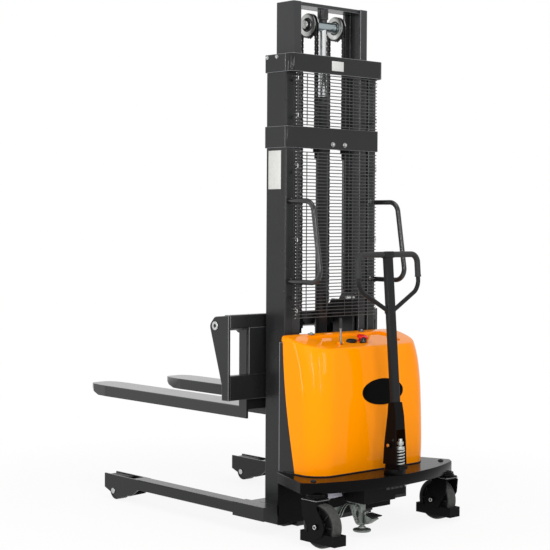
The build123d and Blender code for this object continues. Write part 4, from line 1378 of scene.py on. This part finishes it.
class STACKER_OT_controls(bpy.types.Operator):
    """Lever, gauge, key switch and stop button in the dish of the cover"""

    bl_idname = "stacker.controls"
    bl_label = "Controls"

    button_seat = (26, 158)
    mushroom = (
        (5.6, 0), (5.6, 8.9), (14.5, 8.9), (14.6, 21), (15.8, 23.8), (18, 25),
        (21.5, 25), (25, 23.6), (27.4, 19), (28.4, 12), (28.6, 0))
    collar = ((0.2, 9.2), (0.2, 17.8), (3, 17.8), (3.8, 16), (8.6, 15.2), (9.2, 14), (9.2, 9.2), (0.2, 9.2))
    grip_foot = 866
    stem_foot = ((-6, 0), (-6, 4.5))
    stem_head = ((-4, 4.5), (-2, 5.8), (3, 5.8), (3, 0))
    lever_boss = ((-7.5, 0), (-7.5, 5.2), (-6.5, 6), (6.5, 6), (7.5, 5.2), (7.5, 0))
    lever_grip = (
        (0, 0), (0, 5), (3, 6), (10, 6.4), (16, 6.1), (24, 6.4), (32, 6.1), (40, 6.4),
        (45.5, 5.4), (47.8, 3), (48, 0))
    ear_edges = (-144, -122)
    ear_width = 6
    ear_outline = ((124, 0.2), (124, 9), (128, 14), (132, 15), (138, 14), (142, 9), (142, 0.2))
    slit_outline = (
        (-133, 118), (-131, 115), (-129, 115), (-127, 118),
        (-127, 148), (-129, 151), (-131, 151), (-133, 148))
    gauge_seat = (-36, 160)
    gauge_stretch = 28 / 17
    bezel = ((0.2, 0), (0.2, 17.2), (7, 17.2), (10.4, 16.2), (11, 15), (10.6, 13.8), (9.2, 13.2), (9.2, 0))
    lens = ((9, 13.1), (9.8, 10), (10.2, 0))
    key_out = Vector((-0.52, -0.76, 0.38)).normalized()
    key_face = (-5, 121, 20)
    key_barrel = (
        (-26, 0), (-26, 12.4), (-4, 12.8), (-3, 13.2), (0, 13), (0.4, 11.4), (-1.6, 10.6), (-1.6, 0))
    key_ring = ((-1.8, 6.2), (1.2, 6.2), (2, 7), (1.6, 9.8), (-1.8, 10.6), (-1.8, 6.2))
    key_slot = ((-0.9, -4.8), (0.9, -4.8), (0.9, 4.8), (-0.9, 4.8))

    def execute(self, context):
        self.stop_button()
        self.lever()
        self.lever_bracket()
        self.gauge()
        self.key_switch()
        return {"FINISHED"}

    def stop_button(self):
        """A red mushroom that is pressed down into a red collar."""
        seat = dish(*self.button_seat)
        mushroom = turned("stop_mushroom", self.mushroom, seat, LID_OUT)
        dress(mushroom, signal_red, "stop_button", "stop_red", "estop_button")
        collar = turned("stop_collar", self.collar, seat, LID_OUT)
        dress(collar, signal_red, "chassis", "stop_red", "switch_bodies")

    def lever(self):
        """A thin rod on a cross boss, with a ribbed grip."""
        foot = pivot("lever_swing")
        top = self.grip_foot - foot.z / MM
        profile = list(self.stem_foot) + [(top + along, radius) for along, radius in self.stem_head]
        rods = [turned("lever_stem", profile, foot, UP), turned("lever_boss", self.lever_boss, foot, ACROSS)]
        dress(joined("lever_rod", rods), dull_zinc, "lever", "zinc", "lift_lever")
        grip = turned("lever_grip", self.lever_grip, foot + UP * (top * MM), UP)
        dress(grip, grip_rubber, "lever", "black_plastic")

    def lever_bracket(self):
        """Two ears that hold the lever's boss, and a thin black plate painted as the shade of the slit that
        its stem comes up through.
        """
        ears = []
        for x in self.ear_edges:
            outline = [dish(x, ahead, lift) for ahead, lift in self.ear_outline]
            ears.append(plate("lever_ear", outline, ACROSS * self.ear_width, edge=1))
        dress(joined("lever_bracket", ears), cover_gel, "chassis", "cover_plastic")
        # A thin black plate stands for the slit's dark opening: painted shade.
        slit = plate("lever_slit_shade", [dish(x, ahead, 0.3) for x, ahead in self.slit_outline], LID_OUT * 0.8)
        dress(slit, grained_black, "chassis", "black_plastic")

    def gauge(self):
        """An oval gauge: a black bezel round a dark lens."""
        seat = dish(*self.gauge_seat)
        for name, profile, maker in (
            ("gauge_bezel", self.bezel, grained_black),
            ("gauge_lens", self.lens, smoked_lens),
        ):
            piece = widened(turned(name, profile, seat, LID_OUT), self.gauge_stretch, seat.x)
            dress(smooth(piece, TURNED_ANGLE), maker, "chassis", "black_plastic")

    def key_switch(self):
        """A barrel leaning to the rear and left, with a plated ring and a key slot."""
        out = self.key_out
        face = dish(*self.key_face)
        dress(turned("key_barrel", self.key_barrel, face, out), grained_black, "chassis", "black_plastic")
        dress(turned("key_ring", self.key_ring, face, out), oiled_chain, "chassis", "zinc")
        level = UP.cross(out).normalized()
        up = out.cross(level)
        slot = [face + (level * right + up * rise - out * 1.4) * MM for right, rise in self.key_slot]
        dress(plate("key_slot", slot, out * 1.6, edge=0.3), dull_zinc, "chassis", "zinc")


class STACKER_OT_castors(bpy.types.Operator):
    """Castor wheels with grey treads, spoked hubs, nuts and bearing plates"""

    bl_idname = "stacker.castors"
    bl_label = "Castors"

    half_tread = ((19, 80), (23.2, 80.6), (24.8, 82.8), (23.6, 86.8), (18, 89.4), (9, 90))
    half_hub = (
        (9.4, 8.5), (23.5, 9.5), (23.5, 22), (21.5, 25.6), (12, 29), (12, 69),
        (20.5, 71.5), (22.2, 73), (22.8, 79), (21.5, 80.4))
    spokes = 8
    spoke_outline = ((-4.2, 24), (4.2, 24), (2.6, 70.5), (-2.6, 70.5))
    spoke_foot = 11
    spoke_depth = 9.5
    nut_foot = 46.6
    nut_rim = ((0, 5), (1.6, 5.4), (2.2, 7), (1.6, 9), (0, 9.6))
    crown_foot = 191.5
    crown_half = Vector((38.5, 45, 0)) * MM
    crown_thick = 2.5
    race = ((0.9, 38.1), (0.9, 40.5), (3, 41.8), (5.8, 41.2), (7.2, 39), (7.2, 38.1), (0.9, 38.1))

    def execute(self, context):
        for hand in HANDS:
            self.wheel(hand)
            self.fittings(hand)
        return {"FINISHED"}

    def wheel(self, hand):
        """A grey tread on a black hub with spokes on both faces."""
        body = hand + "_castor_wheel"
        centre = pivot(hand + "_castor_roll")
        tread = turned("castor_tread_" + hand, closed(self.half_tread), centre, ACROSS)
        dress(tread, grey_tread, body, "wheel_tread", "castor_wheel_" + hand)
        parts = [turned("hub", closed(self.half_hub), centre, ACROSS)]
        for side in SIDES:
            foot = centre + ACROSS * (side * self.spoke_foot * MM)
            outline = [foot + (FORWARD * across + UP * out) * MM for across, out in self.spoke_outline]
            spoke = plate("spoke", outline, ACROSS * (side * self.spoke_depth), edge=0.8)
            parts.append(encircled(spoke, self.spokes, centre, ACROSS))
        dress(joined("castor_hub_" + hand, parts), dark_nylon, body, "roller_nylon")

    def fittings(self, hand):
        """Rims of the axle's nuts, the plated crown of the fork and the race that it swivels in."""
        body = hand + "_castor"
        axle = pivot(hand + "_castor_roll")
        swivel = pivot(hand + "_castor_swivel")
        nuts = []
        for side in SIDES:
            end = axle + ACROSS * (side * self.nut_foot * MM)
            nuts.append(turned("axle_ring", sided(self.nut_rim, side), end, ACROSS))
        dress(joined("castor_nuts_" + hand, nuts), bright_zinc, body, "zinc")
        middle = Vector((swivel.x, swivel.y, self.crown_foot * MM))
        top = middle + UP * (self.crown_thick * MM)
        crown = block("castor_crown_" + hand, middle - self.crown_half, top + self.crown_half)
        dress(round_edges(crown, 0.8), dull_zinc, body, "zinc")
        dress(turned("castor_race_" + hand, self.race, swivel, UP), black_enamel, "chassis", "base_paint")


class STACKER_OT_floor_lock(bpy.types.Operator):
    """Floor lock: cast body, rocking pedal with a ribbed pad, and a fixed wire bail"""

    bl_idname = "stacker.floor_lock"
    bl_label = "Floor lock"

    casting_left = -146
    casting_width = 30
    bolted_face = -146.2
    rim_left = -146.5
    casting = ((-12, 144.4), (56, 144.4), (59, 130), (42, 92), (22, 58), (13, 51), (-8, 51), (-12, 56))
    flange = ((-150, -30), (-156, -24), (-156, 62), (-150, 68), (-70, 68), (-64, 62), (-64, -24), (-70, -30))
    flange_foot = 142.6
    flange_thick = 6.2
    rim = ((26, 134), (44, 128), (32, 94), (18, 64))
    bolts = ((7, 126), (7, 70))
    slot = ((1, 108), (8, 114), (15, 108), (17, 96), (12, 84), (5, 82), (1, 90))
    foot_middle = (-120, 6, 30.2)
    foot_profile = (
        (-8.2, 0), (-8.2, 35.5), (-6.4, 38), (-1.2, 38.5), (1.2, 36.8), (4.4, 24), (7.5, 16.5), (12, 15),
        (12, 0))
    hub = ((0, 0), (0, 13), (10, 13), (12, 11), (12, 0))
    wedge = ((-14, 96), (-22, 95), (-62, 84), (-62, 80), (-22, 55), (-14, 55))
    wedge_left = -130
    wedge_width = 40
    bail_wires = (26, 40)
    bail_path = ((-148, 138), (-188, 142), (-208, 122), (-224, 92))
    bail_front = 46
    bail_plate = ((-258, 130), (-196, 134), (-206, 120), (-230, 98))
    pad_corners = ((-128, -18, 96.6), (-88, -18, 97.6), (-70, -63, 89), (-128, -63, 85.4))
    sole = 4.5
    ribs = 6
    rib_foot = 4.2
    rib_width = 2.6
    rib_height = 1.8

    def execute(self, context):
        self.body()
        self.pedal()
        self.bail()
        self.pad()
        return {"FINISHED"}

    def body(self):
        """A leaning casting under a flange, bolted on its left, and the round foot below it."""
        column = along_side(self.casting_left, self.casting)
        parts = [plate("lock_casting", column, ACROSS * self.casting_width, edge=3)]
        flange = [at(x, ahead, self.flange_foot) for x, ahead in self.flange]
        parts.append(plate("lock_flange", flange, UP * self.flange_thick, edge=1))
        parts.append(tube("lock_rim", along_side(self.rim_left, self.rim), radius=3.2, bend=8, sides=4))
        for seat in along_side(self.bolted_face, self.bolts):
            parts.append(hex_bolt("lock_bolt", seat, -ACROSS, size=16, head=5, shank=4))
        dress(joined("lock_casting", parts), cast_zinc, "chassis", "zinc", "lock_bracket")
        # A thin black sheet on the casting's face stands for the dark opening of a slot: painted shade.
        slot = plate("lock_slot_shade", along_side(self.bolted_face, self.slot), ACROSS * -0.8)
        dress(slot, grained_black, "chassis", "black_plastic")
        foot = turned("lock_foot_pad", self.foot_profile, at(*self.foot_middle), UP)
        dress(foot, cast_zinc, "lock_foot", "zinc")

    def pedal(self):
        """A wedge that juts to the rear from its hub."""
        hub = turned("pedal_hub", self.hub, pivot("lock_rock"), REARWARD)
        outline = along_side(self.wedge_left, self.wedge)
        wedge = plate("pedal_wedge", outline, ACROSS * self.wedge_width, edge=1.2)
        dress(joined("lock_rocker_arm", [hub, wedge]), cast_zinc, "lock_rocker", "zinc", "lock_pedal")

    def bail(self):
        """Two bent wires and a small plate beside the pedal."""
        parts = [plate("bail_plate", across_rear(self.bail_front, self.bail_plate), FORWARD * 3, edge=1)]
        for ahead in self.bail_wires:
            parts.append(tube("bail_wire", across_rear(ahead, self.bail_path), radius=2.6, bend=14, sides=4))
        dress(joined("wire_bail", parts), cast_zinc, "chassis", "zinc")

    def pad(self):
        """The pad on the pedal: wider at the rear, with ribs across it."""
        corners = [at(*corner) for corner in self.pad_corners]
        near_left, near_right, rear_right, rear_left = corners
        rearward = (rear_left - near_left).normalized()
        out = rearward.cross(near_right - near_left).normalized()
        wide = rearward * (self.rib_width * MM)
        raised = out * (self.rib_foot * MM)
        parts = [plate("lock_pad", corners, out * self.sole, edge=1.2)]
        for rib in range(self.ribs):
            share = 0.08 + 0.16 * rib
            left = near_left.lerp(rear_left, share) + raised
            right = near_right.lerp(rear_right, share) + raised
            start = left.lerp(right, 0.05)
            end = left.lerp(right, 0.95)
            outline = [start, end, end + wide, start + wide]
            parts.append(plate("pad_rib", outline, out * self.rib_height, edge=0.4))
        dress(joined("lock_pad", parts), grained_black, "lock_rocker", "black_plastic")


class STACKER_OT_trim(bpy.types.Operator):
    """Bolts, blank plates, weld seams and the small pieces on mast, base and carriage"""

    bl_idname = "stacker.trim"
    bl_label = "Trim"

    beam_bolts = ((-8, 310.4, 1657), (65, 310.4, 1657))
    cheek_studs = ((280.6, 376, 2023), (280.6, 436, 2023))
    handle_bolts = ((243, 321.4, 1412), (243, 321.4, 1067))
    shaft_end = (-462.3, 566, 870)
    socket_shade_disc = ((0, 0), (0, 7.2), (0.8, 6.6), (0.8, 0))
    deck_dome = (-391, 20, 262)
    tags = (
        ("beam_tag", (-45, 279.6, 1974), (26, 280.9, 2016)),
        ("mast_tag", (-276.6, 352, 1459), (-275.5, 431, 1624)),
    )
    valve_rear = 296
    valve_depth = 30
    valve_outline = ((-22, 905), (137, 905), (137, 974), (70, 979), (5, 984), (-22, 949))
    cap_seat = (105, 311, 974)
    cap_profile = ((0, 0), (0, 12.5), (4, 13.5), (4, 14.8), (16, 14.8), (19.5, 13.2), (21.5, 9), (22, 0))
    cap_stretch = 1.75
    flute_low = Vector((13.8, -1.1, 5)) * MM
    flute_high = Vector((15.8, 1.1, 16.5)) * MM
    flutes = 20
    rod_ends = ((92, -34, 198), (334, 18, 198))
    rod_end = ((-7, 0), (-7, 8), (-5, 9.5), (5, 9.5), (7, 8), (7, 0))
    chain_pins = 8
    chain_pitch = 13.3
    chain_pin = ((-37, -57.5, 199), (-37, -60.5, 199))
    chain_rear = -58.2
    chain_plate = (
        (-42, 196), (-39, 194.5), (-22, 194.5), (-19, 196),
        (-19, 202), (-22, 203.5), (-39, 203.5), (-42, 202))
    hanger_rear = 61
    hanger = ((-276, 164), (-178, 164), (-178, 255), (-276, 255))
    tag_rear = 59.6
    hanger_tag = ((-271, 168), (-183, 170), (-187, 183), (-183, 199), (-271, 197), (-268, 182))
    leg_left = -428.5
    leg_width = 58
    leg_fold = ((1257, 110), (1384, 110), (1384, 97), (1388, 97), (1388, 115), (1257, 115))
    mast_seams = (
        ((278.5, 321, 1962), (278.5, 321, 2030), 5),
        ((278.5, 321, 1640), (278.5, 321, 1724), 5),
        ((361, 300, 118), (361, 380, 118), 7),
    )
    carriage_seams = (
        ((446, 479.5, 655), (446, 479.5, 560), 6),
        ((340, 479.5, 657), (206, 479.5, 657), 6),
    )

    def execute(self, context):
        self.bolts()
        self.plates()
        self.breather()
        self.steering()
        self.hanger_plate()
        self.leg_caps()
        self.seams("mast_seams", self.mast_seams, "chassis")
        self.seams("carriage_seams", self.carriage_seams, "carriage")
        return {"FINISHED"}

    def bolts(self):
        """Bright bolts on beams, cheeks and handles, black domes on the deck, and black discs on the fork
        shaft's ends painted as the shade inside their sockets.
        """
        bright = []
        for seat in self.beam_bolts:
            bright.append(hex_bolt("beam_bolt", at(*seat), REARWARD, size=15, head=6, shank=4))
        for side in SIDES:
            for x, ahead, z in self.cheek_studs:
                seat = at(side * x, ahead, z)
                bright.append(hex_bolt("cheek_stud", seat, ACROSS * side, size=12, head=4, shank=3))
            for x, ahead, z in self.handle_bolts:
                bright.append(hex_bolt("handle_bolt", at(side * x, ahead, z), REARWARD, size=12, head=4))
        dress(joined("bright_bolts", bright), bright_zinc, "chassis", "zinc", "fasteners")
        # A thin black disc on each shaft end stands for its deep socket: painted shade.
        socket = turned("socket_shade_discs", self.socket_shade_disc, at(*self.shaft_end), -ACROSS)
        dress(pair(socket), grained_black, "carriage", "black_plastic")
        dome = dome_bolt("deck_domes", at(*self.deck_dome), UP, radius=12.5, height=7.5)
        dress(pair(dome), grained_black, "chassis", "black_plastic")

    def plates(self):
        """Blank plates on the upper beam and the mast's left side."""
        tags = [round_edges(block(name, at(*low), at(*high)), 0.4) for name, low, high in self.tags]
        dress(joined("blank_tags", tags), pale_plate, "chassis", "mast_paint")

    def breather(self):
        """Valve block behind the guard, with a fluted filler cap."""
        outline = across_rear(self.valve_rear, self.valve_outline)
        valve = plate("valve_block", outline, FORWARD * self.valve_depth, edge=2)
        dress(valve, black_enamel, "chassis", "base_paint")
        seat = at(*self.cap_seat)
        cap = turned("filler_cap", self.cap_profile, seat, UP)
        flute = round_edges(block("flute", seat + self.flute_low, seat + self.flute_high), 0.4)
        encircled(flute, self.flutes, seat, UP)
        fluted = widened(joined("filler_cap", [cap, flute]), self.cap_stretch, seat.x)
        dress(fluted, bright_zinc, "chassis", "zinc")

    def steering(self):
        """Steering rod and chain under the deck."""
        places = [at(*end) for end in self.rod_ends]
        ends = [turned("rod_end", self.rod_end, place, UP) for place in places]
        steering_rod = joined("steering_rod", [tube("steering_rod", places, radius=4.5)] + ends)
        dress(steering_rod, bright_zinc, "chassis", "zinc")
        start, end = [at(*place) for place in self.chain_pin]
        pin = round_edges(rod("chain_pin", start, end, radius=2.6, sides=12), 0.6)
        repeated(pin, self.chain_pins, ACROSS * self.chain_pitch)
        link = plate("chain_plate", across_rear(self.chain_rear, self.chain_plate), REARWARD * 1.2)
        repeated(link, self.chain_pins // 2, ACROSS * (2 * self.chain_pitch))
        dress(joined("steering_chain", [pin, link]), oiled_chain, "chassis", "chain_steel")

    def hanger_plate(self):
        """A plate that hangs under the deck, with a blank foil on it."""
        hanger = plate("tag_hanger", across_rear(self.hanger_rear, self.hanger), FORWARD * 4, edge=1)
        dress(hanger, black_enamel, "chassis", "base_paint")
        tag = plate("hanger_tag", across_rear(self.tag_rear, self.hanger_tag), FORWARD * 1.3, edge=0.3)
        dress(tag, lilac_plate, "chassis", "base_paint")

    def leg_caps(self):
        """Folded plates that close the leg ends above the load rollers."""
        cap = plate("leg_caps", along_side(self.leg_left, self.leg_fold), ACROSS * self.leg_width, edge=1)
        dress(pair(cap), black_enamel, "chassis", "base_paint")

    def seams(self, name, runs, body):
        """Weld seams on both sides where plates meet."""
        beads = []
        for side in SIDES:
            for (x, ahead, z), (end_x, end_ahead, end_z), width in runs:
                start = at(side * x, ahead, z)
                end = at(side * end_x, end_ahead, end_z)
                beads.append(weld_bead("seam", start, end, width))
        dress(joined(name, beads), mast_enamel, body, "mast_paint")


class STACKER_PT_sidebar(bpy.types.Panel):
    """Buttons for every group of pieces"""

    bl_idname = "STACKER_PT_sidebar"
    bl_label = "Stacker"
    bl_space_type = "VIEW_3D"
    bl_region_type = "UI"
    bl_category = "Stacker"

    def draw(self, context):
        for operator in OPERATORS:
            self.layout.operator(operator.bl_idname)


OPERATORS = (
    STACKER_OT_stage,
    STACKER_OT_finish_nodes,
    STACKER_OT_wire_guard,
    STACKER_OT_lift_chains,
    STACKER_OT_sheaves,
    STACKER_OT_tiller,
    STACKER_OT_cover,
    STACKER_OT_controls,
    STACKER_OT_castors,
    STACKER_OT_floor_lock,
    STACKER_OT_trim,
)
GROUPS = (StackerColours, StackerSizes, StackerStage)


def register():
    """Register the classes and give the scene its properties."""
    for item in GROUPS + OPERATORS + (STACKER_PT_sidebar,):
        bpy.utils.register_class(item)
    bpy.types.Scene.stacker_colours = PointerProperty(type=StackerColours)
    bpy.types.Scene.stacker_sizes = PointerProperty(type=StackerSizes)
    bpy.types.Scene.stacker_stage = PointerProperty(type=StackerStage)


def unregister():
    """Take the properties and classes away again."""
    for name in ("stacker_colours", "stacker_sizes", "stacker_stage"):
        delattr(bpy.types.Scene, name)
    for item in reversed(GROUPS + OPERATORS + (STACKER_PT_sidebar,)):
        bpy.utils.unregister_class(item)


def main():
    """Register, and make every group of pieces in order."""
    register()
    for operator in OPERATORS:
        group, name = operator.bl_idname.split(".")
        getattr(getattr(bpy.ops, group), name)()


if __name__ == "__main__":
    main()
